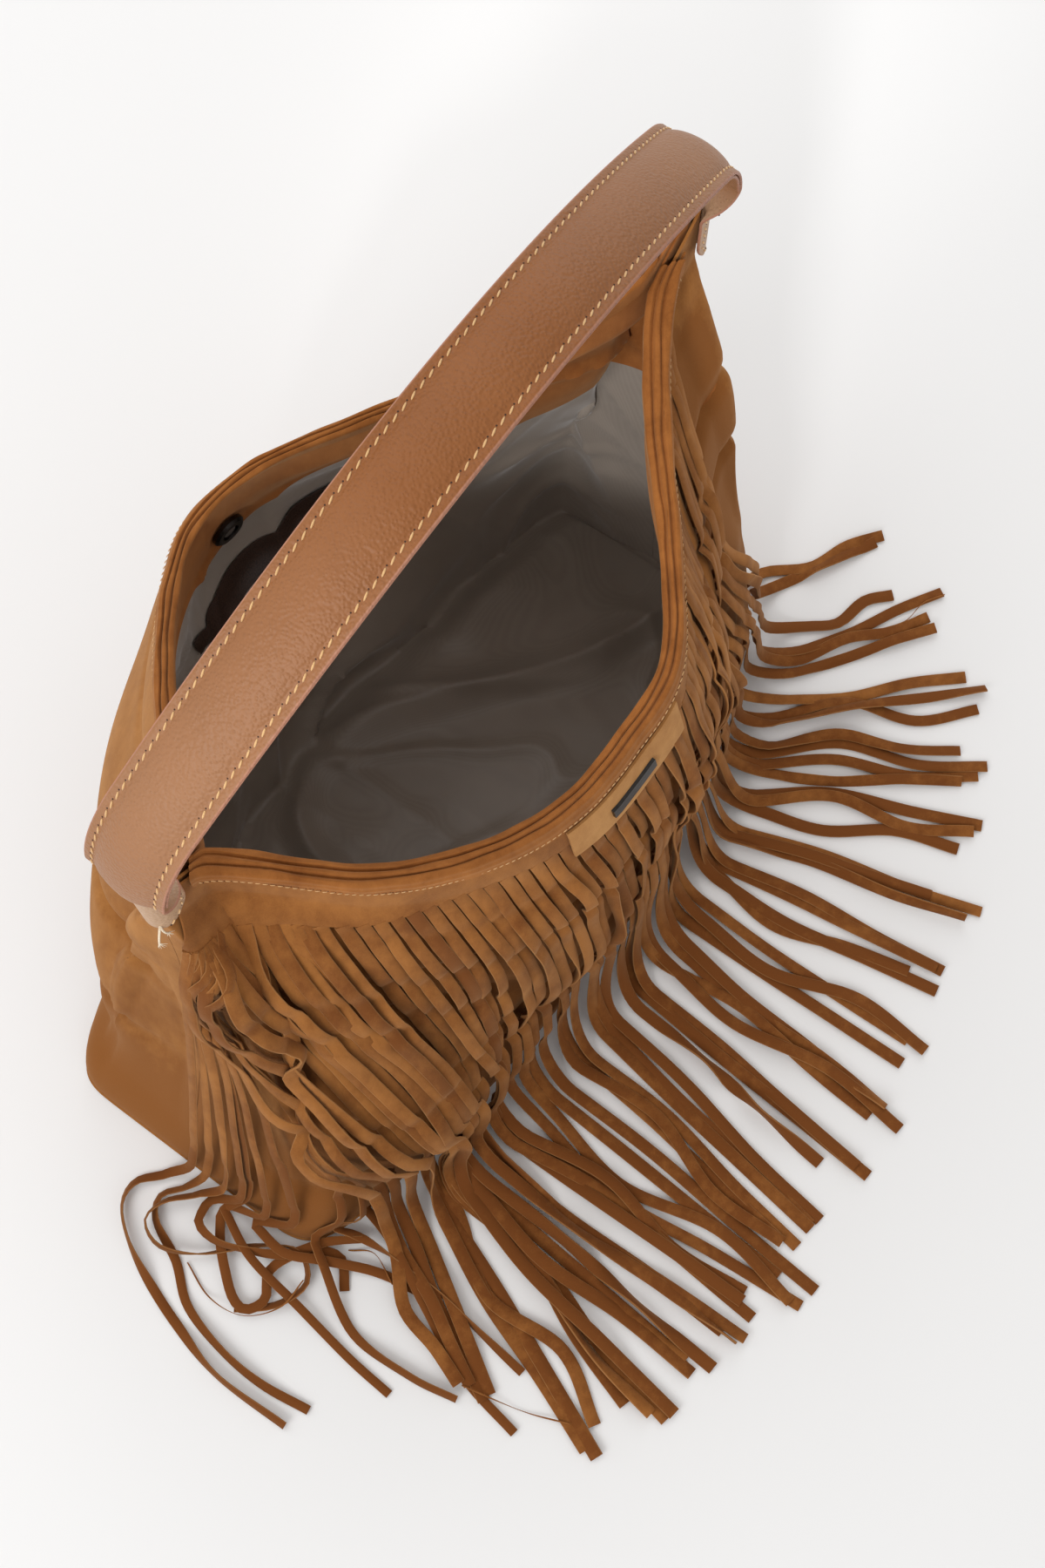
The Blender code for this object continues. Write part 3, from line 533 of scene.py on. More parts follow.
def wrinkles(x, y, seed, size):
    """Sharp-topped soft folds from 0 to 1."""
    bend = ripple(x, y, seed + 7, size * 1.8) * size * 0.35
    return np.clip(1 - np.abs(ripple(x + bend, y - bend, seed, size, 8)) * 1.25, 0, 1) ** 1.5


LINING_SEAM = 0.0015


def lining_fold(side, column, level):
    """How far the loose cloth stands inwards at columns and heights."""
    low = 1 - level / (facing_foot(side, column) - LINING_SEAM)
    inward = wrinkles(column * 0.016, level * 0.16, 61 + side, 0.16) * 0.008
    inward += wrinkles(column * 0.016, level * 0.30, 66 + side, 0.08) * 0.0022
    inward += 0.004 * smooth(low / 0.5)
    return inward * smooth(low / 0.25) * smooth(np.minimum(column, COLUMNS - column) / 3.0)


LINING_LOW = 0.0034
LINING_CLOTH = 0.0004

rise, columns = np.meshgrid(np.linspace(0.0, 1.0, 54), PLACES, indexing="ij")
walls = {}
for side in (FRONT, BACK):
    levels = (facing_foot(side, columns) - LINING_SEAM) * rise
    hanging, _ = body_layer(side, columns, levels, FACING_OUT + LINING, HANG[side],
                            -lining_fold(side, columns, levels))
    walls[side] = hanging[::-1]
    walls[side][..., 2] = np.maximum(walls[side][..., 2], LINING_LOW)
across = np.linspace(0.0, 1.0, 66)[1:-1, None, None]
bottom = walls[FRONT][-1][None] * (1 - across) + walls[BACK][-1][None] * across
room_left = smooth(np.minimum(across[..., 0], 1 - across[..., 0]) / 0.12)
room_left = room_left * smooth(np.minimum(PLACES, COLUMNS - PLACES) / 3.0)[None]
bottom[..., 2] += room_left * (
    wrinkles(bottom[..., 0], bottom[..., 1], 73, 0.19) * 0.009
    + wrinkles(bottom[..., 0], bottom[..., 1], 79, 0.10) * 0.003 + 0.001)
inner = np.concatenate([walls[FRONT], bottom, walls[BACK][::-1]])
normals = unit(np.cross(np.gradient(inner, axis=1), np.gradient(inner, axis=0)), 1e-9)
if normals[len(inner) // 2, len(PLACES) // 2, 2] > 0:
    normals = -normals
lining = thin_shell("cloth_lining", inner + normals * LINING_CLOTH, inner, lining_cloth, sharp=80.0)
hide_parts("lining")
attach(lining, "root")

# Magnetic snap.
# A gunmetal cup with a plain steel magnet sits on the back facing, and a plate and stud on the front
# facing. Thin steel washers behind the facings hold both.
def worn_metal(name, scale, dark, pale, shine):
    """Plated metal with fine scuffs."""
    material, tree = new_material(name, Metallic=1.0)
    scuff = noise(tree, object_place(tree), scale, 4.0)
    paint(tree, colour_mix(tree, scuff, dark, pale), ranged(tree, scuff, *shine))
    return material


def plate(name, material):
    """Give its plating to a piece that stays as the frame made it."""
    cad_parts[name].data.materials.clear()
    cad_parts[name].data.materials.append(material)


gunmetal = worn_metal("gunmetal", 420.0, (0.020, 0.018, 0.017), (0.065, 0.060, 0.056), (0.22, 0.42))
plain_steel = worn_metal("plain_steel", 600.0, (0.30, 0.29, 0.28), (0.48, 0.47, 0.46), (0.25, 0.5))
for name in ("snap_socket", "snap_plate"):
    plate(name, gunmetal)
for name in ("snap_magnet", "snap_stud", "front_snap_washer", "back_snap_washer"):
    plate(name, plain_steel)

# Pocket welt.
# A dark brown leather strip edges the slit of the pocket in the back lining.
WELT_SIZE = (0.120, 0.014)
WELT_DROP, WELT_X = 0.100, -0.007
WELT_STAND, WELT_PILLOW = 0.0016, 0.0005

welt_leather, tree = new_material("welt_leather")
grain = node(tree, "ShaderNodeTexVoronoi", {"Vector": object_place(tree), "Scale": 1100.0})
grain = grain.outputs["Distance"]
paint(tree, colour_mix(tree, grain, (0.050, 0.022, 0.012), (0.018, 0.008, 0.005)),
      ranged(tree, grain, 0.4, 0.6), grain, 0.4, 0.0002)


def wall_columns(side, x, v):
    """Columns of a wall at which it has these x at these heights."""
    found = np.empty(np.broadcast(x, v).shape)
    x, v = np.broadcast_arrays(x, v)
    for spot in np.ndindex(found.shape):
        found[spot] = np.interp(x[spot], wall(side, PLACES, v[spot])[:, 0], PLACES)
    return found


def oblong(rows, columns):
    """Grid of shares down and along an oblong piece, from -1 to 1 about its middle."""
    return np.meshgrid(np.linspace(1.0, -1.0, rows), np.linspace(-1.0, 1.0, columns), indexing="ij")


down, along = oblong(9, 61)
x = WELT_X + along * WELT_SIZE[0] / 2
drop = WELT_DROP + down * WELT_SIZE[1] / 2
levels = drop_to_v(BACK, x, drop)
columns = wall_columns(BACK, x, levels)
face, normals = body_layer(BACK, columns, levels, FACING_OUT + LINING, HANG[BACK],
                           -lining_fold(BACK, columns, levels) - WELT_STAND)
pillow = WELT_PILLOW * np.sqrt(np.clip(1 - down ** 4, 0, 1)) * np.sqrt(np.clip(1 - along ** 12, 0, 1))
welt = thin_shell("leather_welt", face + normals * 0.0004, face - normals * pillow[..., None],
                  welt_leather)
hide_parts("pocket_welt")
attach(welt, "root")

# Turned edging of the mouth.
# Narrow suede bindings fold over the raw edges of the panel, band and facing. The layers show as
# parallel ridges, and one row of pale topstitch holds the outer leg.
FRINGE_GAP, FRINGE = 0.0010, 0.0012
BAND_OUT = FRINGE_GAP + FRINGE
EDGE_GAP = 0.0006
BINDING, BINDING_LEG, LEG_ROWS = 0.0010, 0.009, 11
RIDGE, GROOVE, GROOVES = 0.0026, 0.0021, (0.33, 0.66)
SHALLOW, DEEP = -0.004, 0.006
BEAD_DROP = 0.0035

edging_suede = suede_material("edging_suede", (0.33, 0.120, 0.028), (0.19, 0.060, 0.012), 30.0)[0]


def edge_spot(side, column, depth, drop):
    """Points near the mouth, a depth inwards and a drop below its edge."""
    x = wall(side, column, 1.0)[..., 0]
    grid = wall(side, column, drop_to_v(side, x, np.maximum(drop, 0.0)), depth).copy()
    grid[..., 2] += np.maximum(-drop, 0.0)
    return grid


def depth_grid(side, column, depth, drop):
    """Edge points whose depth changes from point to point."""
    share = ((depth - SHALLOW) / (DEEP - SHALLOW))[..., None]
    return edge_spot(side, column, SHALLOW, drop) * (1 - share) + edge_spot(side, column, DEEP, drop) * share


edge_columns = np.linspace(END_COLUMNS + 0.7, COLUMNS - END_COLUMNS - 0.7, 320)
for name, side, outside in (("front_binding", FRONT, -BAND_OUT), ("back_binding", BACK, 0.0)):
    first = outside - EDGE_GAP - BINDING
    last = FACING_IN + EDGE_GAP + BINDING
    wave = np.linspace(0.0, 1.0, 44)
    ridge = RIDGE * np.sin(math.pi * wave) ** 0.40
    for groove in GROOVES:
        ridge -= GROOVE * np.exp(-((wave - groove) / 0.055) ** 2)
    legs = np.linspace(BINDING_LEG, 0.0, LEG_ROWS + 1)[:-1]
    bead = 0.0004 * np.exp(-((legs - BEAD_DROP) / 0.0012) ** 2)
    depths = np.concatenate([first - bead, first + (last - first) * wave, np.full(LEG_ROWS, last)])
    drops = np.concatenate([legs, -ridge, legs[::-1]])
    depth, column = np.meshgrid(depths, edge_columns, indexing="ij")
    drop = np.broadcast_to(drops[:, None], depth.shape)
    uneven = ripple(column * 0.016, depth * 8, 31 + side, 0.03) * 0.00025
    outer = depth_grid(side, column, depth + uneven, drop - np.abs(uneven))
    middle = depth_grid(side, column, np.full_like(depth, (first + last) / 2), np.maximum(drop, 0.0))
    push = middle - outer
    push[..., 2] -= np.where(drop <= 0.0, 0.002, 0.0)
    binding = thin_shell(f"suede_{name}", outer, outer + unit(push) * BINDING * 0.8, edging_suede, 60.0)
    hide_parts(name)
    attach(binding, "root")


def line_field(tree, name, kind):
    return node(tree, "GeometryNodeInputNamedAttribute", {"Name": name},
                data_type=kind).outputs["Attribute"]


def with_material(tree, body, material):
    return node(tree, "GeometryNodeSetMaterial", {"Geometry": body, "Material": material}).outputs[0]


def stitch_tree():
    """Geometry Nodes: raised stitches along a line on a surface, each followed by a dark blob of painted
    shade in its needle hole.
    """
    tree, given = new_group(
        "stitch_row", "GeometryNodeTree",
        {"Geometry": "Geometry", "Pitch": "Float", "Length": "Float", "Thickness": "Float",
         "Slant": "Float", "Hole": "Float", "Thread": "Material", "Shadow": "Material"},
        {"Geometry": "Geometry"})
    line = node(tree, "GeometryNodeMeshToCurve", {"Mesh": given["Geometry"]}).outputs[0]
    dots = node(tree, "GeometryNodeResampleCurve", {"Curve": line, "Length": given["Pitch"]},
                mode="LENGTH").outputs[0]
    tangent = node(tree, "GeometryNodeInputTangent").outputs[0]
    facing = node(tree, "FunctionNodeAxesToRotation",
                  {0: line_field(tree, "surface", "FLOAT_VECTOR"), 1: tangent},
                  primary_axis="Z", secondary_axis="X").outputs[0]
    slant = node(tree, "ShaderNodeCombineXYZ", {"Z": given["Slant"]}).outputs[0]
    slant = node(tree, "FunctionNodeEulerToRotation", {0: slant}).outputs[0]
    spin = node(tree, "FunctionNodeRotateRotation", {"Rotation": facing, "Rotate By": slant},
                rotation_space="LOCAL").outputs[0]
    ball = node(tree, "GeometryNodeMeshUVSphere", {"Segments": 8, "Rings": 6, "Radius": 0.5})
    joined = node(tree, "GeometryNodeJoinGeometry")
    for length, width, along, sink, material in (("Length", "Thickness", 0.0, 0.25, "Thread"),
                                                 (None, "Hole", 0.5, -0.15, "Shadow")):
        wide = calc(tree, "MULTIPLY", given[width], 2.0)
        long = given[length] if length else wide
        size = node(tree, "ShaderNodeCombineXYZ", {"X": long, "Y": wide, "Z": wide}).outputs[0]
        move = node(tree, "ShaderNodeCombineXYZ", {
            "X": calc(tree, "MULTIPLY", given["Pitch"], along),
            "Z": calc(tree, "MULTIPLY", wide, sink)}).outputs[0]
        shape = node(tree, "GeometryNodeTransform", {
            "Geometry": ball.outputs["Mesh"], "Translation": move, "Scale": size}).outputs[0]
        copies = node(tree, "GeometryNodeInstanceOnPoints", {
            "Points": dots, "Instance": shape, "Rotation": spin}).outputs[0]
        real = node(tree, "GeometryNodeRealizeInstances", {"Geometry": copies}).outputs[0]
        tree.links.new(with_material(tree, real, given[material]), joined.inputs[0])
    node(tree, "NodeGroupOutput", {"Geometry": joined.outputs[0]})
    return tree


def grown(name, lines, fields, tree, **values):
    """Run a Geometry Nodes tree on open lines of points, and keep its result as a plain mesh."""
    edges, start = [], 0
    for line in lines:
        edges += [(start + k, start + k + 1) for k in range(len(line) - 1)]
        start += len(line)
    mesh = bpy.data.meshes.new(name)
    mesh.from_pydata(np.concatenate(lines).tolist(), edges, [])
    for field, parts in fields.items():
        data = np.concatenate(parts).astype(np.float32)
        kind, key = ("FLOAT_VECTOR", "vector") if data.ndim == 2 else ("FLOAT", "value")
        mesh.attributes.new(field, kind, "POINT").data.foreach_set(key, data.ravel())
    item = bpy.data.objects.new(name, mesh)
    bpy.context.scene.collection.objects.link(item)
    live = item.modifiers.new("growth", "NODES")
    live.node_group = tree
    for socket in tree.interface.items_tree:
        if socket.in_out == "INPUT" and socket.name in values:
            live[socket.identifier] = values[socket.name]
    graph = bpy.context.evaluated_depsgraph_get()
    result = bpy.data.meshes.new_from_object(item.evaluated_get(graph), depsgraph=graph)
    item.modifiers.clear()
    item.data = result
    result.name = name
    result.shade_smooth()
    return item


def thread_material(name, light, dark):
    """Twisted thread, lighter on its strands."""
    material, tree = new_material(name, Roughness=0.6, Sheen_Weight=0.3)
    strand = noise(tree, object_place(tree), 2600.0)
    paint(tree, colour_mix(tree, strand, dark, light), None, strand)
    return material


gold_thread = thread_material("gold_thread", (0.78, 0.50, 0.22), (0.42, 0.22, 0.08))
# The needle holes are dark blobs of painted shade.
hole_shade, tree = new_material("hole_shade", Roughness=0.9)
pit = noise(tree, object_place(tree), 900.0)
paint(tree, colour_mix(tree, pit, (0.030, 0.012, 0.006), (0.060, 0.024, 0.010)))
STITCHES = stitch_tree()


def stitched(name, rows, **sizes):
    """Stitches along lines that come with their outward directions."""
    lines, outs = zip(*rows)
    return grown(name, lines, {"surface": outs}, STITCHES, Thread=gold_thread, Shadow=hole_shade,
                 **sizes)


def edge_line(side, columns, depth, drop):
    """Line along the mouth with its outward directions."""
    drops = np.full_like(columns, drop)
    line = edge_spot(side, columns, depth, drops)
    return line, unit(line - edge_spot(side, columns, depth + 0.002, drops))


SEAM_DROP, THREAD_SINK = 0.0074, 0.0001
seam_columns = np.linspace(END_COLUMNS + 0.9, COLUMNS - END_COLUMNS - 0.9, 500)
rows = [edge_line(side, seam_columns, outside - EDGE_GAP - BINDING - THREAD_SINK, SEAM_DROP)
        for side, outside in ((FRONT, -BAND_OUT), (BACK, 0.0))]
edge_stitches = stitched("edge_stitches", rows, Pitch=0.0031, Length=0.0023, Thickness=0.00026,
                         Slant=0.05, Hole=0.00022)
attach(edge_stitches, "root")

# Long cut fringe.
# One piece of suede hangs from the edging. Below a plain band it is cut into long ribbons that sway
# and cross down the front, bend onto the floor and spread there, with a tangle at the left corner.
STRIPS = 64
STRIP_WIDTH = 0.0066
RIBBON_STEP = 0.0040
FRINGE_INSET, BAND_TOP_DROP = 0.010, 0.0012
BAND_START = END_COLUMNS + FACE_COLUMNS * FRINGE_INSET
BAND_END = END_COLUMNS + FACE_COLUMNS * (1 - FRINGE_INSET)
BODY_END = 0.3
TOPS = (4.3, 4.9, 5.6, 6.6, 8.0, 10.0, 11.5, 13.5, 17.5, 19.0, 22.5, 26.0, 29.7)
DRIFT_LEVELS = (0.0, 0.2, 0.45, 0.65, 0.8, 0.94)
# How many columns a strip drifts sideways: a row for each of TOPS, a value for each of DRIFT_LEVELS.
DRIFTS = np.array((
    (0.8, 0.0, -2.2, -3.0, -2.8, 0.0), (1.6, 1.1, -0.9, -2.2, -2.2, 0.0),
    (2.5, 2.0, 0.3, -1.3, -1.6, 0.0), (2.2, 1.9, 0.9, -0.2, -0.8, 0.0),
    (1.9, 1.8, 1.1, 0.3, -0.1, 0.0), (1.1, 1.0, 0.7, 0.4, 0.1, 0.0),
    (1.3, 1.2, 0.8, 0.4, 0.1, 0.0), (1.6, 1.4, 0.9, 0.5, 0.1, 0.0),
    (1.6, 1.5, 1.0, 0.5, 0.2, 0.0), (1.7, 1.5, 0.8, 0.4, 0.1, 0.0),
    (1.0, 0.5, -0.3, -0.5, -0.2, 0.0), (0.8, 0.0, -1.3, -1.3, -0.6, 0.0),
    (2.2, 0.6, -1.9, -2.1, -1.0, 0.0)))
KNOTS = np.linspace(0.0, 1.0, 101)
SOFT = np.hanning(25)[1:-1] / np.hanning(25).sum()


def band_depth(x):
    """Depth of the uncut band, which is deeper towards both tips and most at the left one."""
    return 0.028 + np.where(x > 0, 0.012, 0.034) * smooth((np.abs(x) - 0.075) / 0.10)


def on_body(column):
    return np.clip(column, BODY_END, COLUMNS - BODY_END)


def drift_curve(drifts):
    """Sideways drift at even heights, rounded off between the given levels."""
    return np.convolve(np.pad(np.interp(KNOTS, DRIFT_LEVELS, drifts), len(SOFT) // 2, "edge"),
                       SOFT, "valid")


DRIFT_CURVES = np.array([drift_curve(row) for row in DRIFTS])


def drifted(columns, levels):
    """Columns of ribbons at these heights, for their columns at the mouth."""
    spot = np.clip(np.interp(columns, TOPS, np.arange(len(TOPS))), 0, len(TOPS) - 1.001)
    level = np.clip(levels * (len(KNOTS) - 1), 0, len(KNOTS) - 1.001)
    row, low = spot.astype(int), level.astype(int)
    share, part = spot - row, level - low
    before, after = [DRIFT_CURVES[k, low] * (1 - part) + DRIFT_CURVES[k, low + 1] * part
                     for k in (row, row + 1)]
    return on_body(columns + before * (1 - share) + after * share)


share, columns = np.meshgrid(np.linspace(0.0, 1.0, 16), np.linspace(BAND_START, BAND_END, 500),
                             indexing="ij")
x = wall(FRONT, columns, 1.0)[..., 0]
slit_level = drop_to_v(FRONT, x, band_depth(x))
top_level = drop_to_v(FRONT, x, BAND_TOP_DROP)
levels = slit_level + (top_level - slit_level) * share
outer, normals = body_layer(FRONT, drifted(columns, levels), levels, lift=BAND_OUT)
inner = outer - normals * FRINGE * 0.9


def swept(tree, line, profile, material):
    """End a tree with its lines swept into closed bodies of the lines' own sizes."""
    body = node(tree, "GeometryNodeCurveToMesh", {
        "Curve": line, "Profile Curve": profile, "Scale": line_field(tree, "size", "FLOAT"),
        "Fill Caps": True}).outputs[0]
    node(tree, "NodeGroupOutput", {"Geometry": with_material(tree, body, material)})


def ribbon_tree():
    """Geometry Nodes: flat cut ribbons along lines, facing the way that each point asks."""
    tree, given = new_group(
        "cut_ribbons", "GeometryNodeTree",
        {"Geometry": "Geometry", "Width": "Float", "Thickness": "Float", "Rounding": "Float",
         "Suede": "Material"}, {"Geometry": "Geometry"})
    line = node(tree, "GeometryNodeMeshToCurve", {"Mesh": given["Geometry"]}).outputs[0]
    line = node(tree, "GeometryNodeSetCurveNormal", {
        "Curve": line, "Normal": line_field(tree, "facing", "FLOAT_VECTOR")}, mode="FREE").outputs[0]
    flat = node(tree, "GeometryNodeCurvePrimitiveQuadrilateral", {
        "Width": given["Thickness"], "Height": given["Width"]}, mode="RECTANGLE").outputs[0]
    flat = node(tree, "GeometryNodeFilletCurve", {
        "Curve": flat, "Count": 1, "Radius": given["Rounding"]}, mode="POLY").outputs[0]
    # A mask of the ribbons' long edges, which the suede lightens there as a painted highlight.
    spot = node(tree, "GeometryNodeInputPosition").outputs[0]
    spot = node(tree, "ShaderNodeSeparateXYZ", {0: spot}).outputs["Y"]
    near = calc(tree, "MULTIPLY", given["Width"], 0.46)
    rim = calc(tree, "GREATER_THAN", calc(tree, "ABSOLUTE", spot), near)
    flat = node(tree, "GeometryNodeStoreNamedAttribute", {
        "Geometry": flat, "Name": "rim", "Value": rim}, data_type="FLOAT", domain="POINT").outputs[0]
    swept(tree, line, flat, given["Suede"])
    return tree


class HeightMap:
    """Height already taken over a flat map, so that later ribbons lie on earlier ones."""

    def __init__(self, low, high, cell):
        self.low, self.cell = np.array(low), np.array(cell)
        shape = np.ceil((np.array(high) - self.low) / self.cell).astype(int) + 1
        self.height = np.zeros(shape)

    def cells(self, spots):
        index = np.round((spots - self.low) / self.cell).astype(int)
        return tuple(np.clip(index, 0, np.array(self.height.shape) - 1).T)

    def under(self, line, across, half):
        """Height taken under a ribbon that lies along a line."""
        return np.max([self.height[self.cells(line + across * step)]
                       for step in np.linspace(-half, half, 7)], axis=0)

    def cover(self, line, across, half, height):
        """Let a ribbon take up the height that it reaches."""
        for step in np.linspace(-half, half, 9):
            np.maximum.at(self.height, self.cells(line + across * step), height)


def spread_out(heights, reach):
    """Let a ribbon rise and fall softly over what it crosses."""
    grown = heights.copy()
    for step in range(1, reach + 1):
        ease = 1.0 - (step / (reach + 1)) ** 2
        grown[step:] = np.maximum(grown[step:], heights[:-step] * ease)
        grown[:-step] = np.maximum(grown[:-step], heights[step:] * ease)
    even = np.convolve(np.pad(grown, 2, "edge"), np.ones(5) / 5, "valid")
    return np.maximum(even, heights * 0.8)


def bend_through(points, spacing):
    """Smooth line through points, evenly spaced."""
    points = np.asarray(points, float)
    extended = np.concatenate([[2 * points[0] - points[1]], points, [2 * points[-1] - points[-2]]])
    line = []
    for a, b, c, d in zip(extended, extended[1:], extended[2:], extended[3:]):
        for t in np.linspace(0, 1, 24, endpoint=False):
            line.append(0.5 * (2 * b + (c - a) * t + (2 * a - 5 * b + 4 * c - d) * t ** 2
                               + (3 * b - a - 3 * c + d) * t ** 3))
    line = np.array(line + [points[-1]])
    length = np.linalg.norm(np.diff(line, axis=0), axis=1).sum()
    return even_points(line, max(3, int(length / spacing)))


def turned_about(vectors, axes, angles):
    """Turn vectors about unit axes by angles."""
    cosine, sine = np.cos(angles)[:, None], np.sin(angles)[:, None]
    along = (vectors * axes).sum(1, keepdims=True)
    return vectors * cosine + np.cross(axes, vectors) * sine + axes * along * (1 - cosine)


def soft_noise(rng, count, size):
    """Smooth random run of values about -1 to 1."""
    knots = rng.normal(0, 0.6, max(4, int(count / size) + 3))
    spot = np.linspace(0, len(knots) - 1.001, count)
    start = spot.astype(int)
    blend = smooth(spot - start)
    return knots[start] * (1 - blend) + knots[start + 1] * blend


def wall_normal(side, column, v):
    """Outward directions of the plain wall at columns and heights."""
    wide = wall(side, np.minimum(column + 0.3, COLUMNS), v) - wall(side, np.maximum(column - 0.3, 0.0), v)
    tall = wall(side, column, np.minimum(v + 0.02, 1.0)) - wall(side, column, np.maximum(v - 0.02, 0.0))
    return unit(np.cross(wide, tall)) * -side


# Where the strips end on the floor, for shares of the way from the first strip to the last.
FLOW = (0.03, 0.08, 0.13, 0.20, 0.27, 0.34, 0.46, 0.58, 0.66, 0.73, 0.79, 0.84, 0.88, 0.92, 0.96, 1.0)
ENDS = np.array((
    (-0.262, -0.205), (-0.244, -0.258), (-0.213, -0.280), (-0.176, -0.288), (-0.146, -0.294),
    (-0.125, -0.298), (-0.086, -0.301), (-0.006, -0.296), (0.050, -0.282), (0.105, -0.266),
    (0.145, -0.240), (0.178, -0.226), (0.208, -0.205), (0.236, -0.172), (0.252, -0.138),
    (0.262, -0.104)))
# Each strip of the tangle: the column of the body over its foot, then its way over the floor.
TANGLE = (
    (0.4, (-0.263, -0.006), (-0.274, 0.003), (-0.287, 0.001), (-0.299, -0.013), (-0.309, -0.034),
        (-0.318, -0.061), (-0.325, -0.092), (-0.324, -0.134)),
    (0.9, (-0.262, -0.019), (-0.272, -0.012), (-0.283, -0.018), (-0.293, -0.039), (-0.307, -0.058),
        (-0.314, -0.086), (-0.315, -0.112), (-0.311, -0.139)),
    (1.4, (-0.262, -0.026), (-0.273, -0.016), (-0.286, -0.014), (-0.292, -0.028), (-0.283, -0.047),
        (-0.264, -0.066), (-0.252, -0.086), (-0.262, -0.100), (-0.280, -0.094), (-0.294, -0.078)),
    (2.2, (-0.262, -0.044), (-0.272, -0.052), (-0.282, -0.063), (-0.290, -0.074),
        (-0.291, -0.083), (-0.281, -0.088), (-0.268, -0.081), (-0.250, -0.090), (-0.242, -0.106),
        (-0.254, -0.118)),
    (1.8, (-0.262, -0.034), (-0.271, -0.037), (-0.273, -0.050), (-0.267, -0.066),
        (-0.257, -0.083), (-0.240, -0.096), (-0.228, -0.110)),
    (2.8, (-0.258, -0.044), (-0.269, -0.070), (-0.274, -0.105), (-0.279, -0.140),
        (-0.281, -0.167)),
    (3.4, (-0.255, -0.062), (-0.257, -0.082), (-0.248, -0.101), (-0.236, -0.128),
        (-0.230, -0.161)),
    (4.6, (-0.244, -0.092), (-0.250, -0.102), (-0.268, -0.134), (-0.268, -0.170),
        (-0.263, -0.196)),
    (5.2, (-0.232, -0.096), (-0.228, -0.108), (-0.226, -0.130), (-0.226, -0.155),
        (-0.229, -0.180), (-0.233, -0.215)),
    (6.4, (-0.214, -0.100), (-0.220, -0.122), (-0.236, -0.156), (-0.252, -0.192),
        (-0.259, -0.229)))

HANGING_WAY = np.array([[1.0, 0.0]])
FRONT_COLUMN = 0.0135
HANGING_HALF = STRIP_WIDTH / 2 / FRONT_COLUMN
LEAVES = np.linspace(0.05, 0.36, 32)
STAND_OFF, FLOOR_GAP = 0.0001, 0.0002
FRONT_HEIGHT = 0.33
GROUP_STRIPS = 3.4
LOOSE, LOOSER, LOOSER_STRIPS = 0.004, 0.009, 18
WIDER, WIDER_STRIPS, TANGLE_NARROWER = 0.10, 16, 0.22
ON_EDGE, TANGLE_ON_EDGE = 0.16, 0.7
# Depth of the painted shade on the strips where they lie on the floor, deeper in the tangle.
FLOOR_SHADE, TANGLE_FLOOR_SHADE = 0.14, 0.28

rng = np.random.default_rng(11)
on_wall = HeightMap((0.0, 0.0), (COLUMNS, 1.0), (1 / 16, 1 / 330))
on_floor = HeightMap((-0.36, -0.34), (0.30, 0.16), (0.001, 0.001))
lines, facings, sizes, tones_and_shade = [], [], [], []
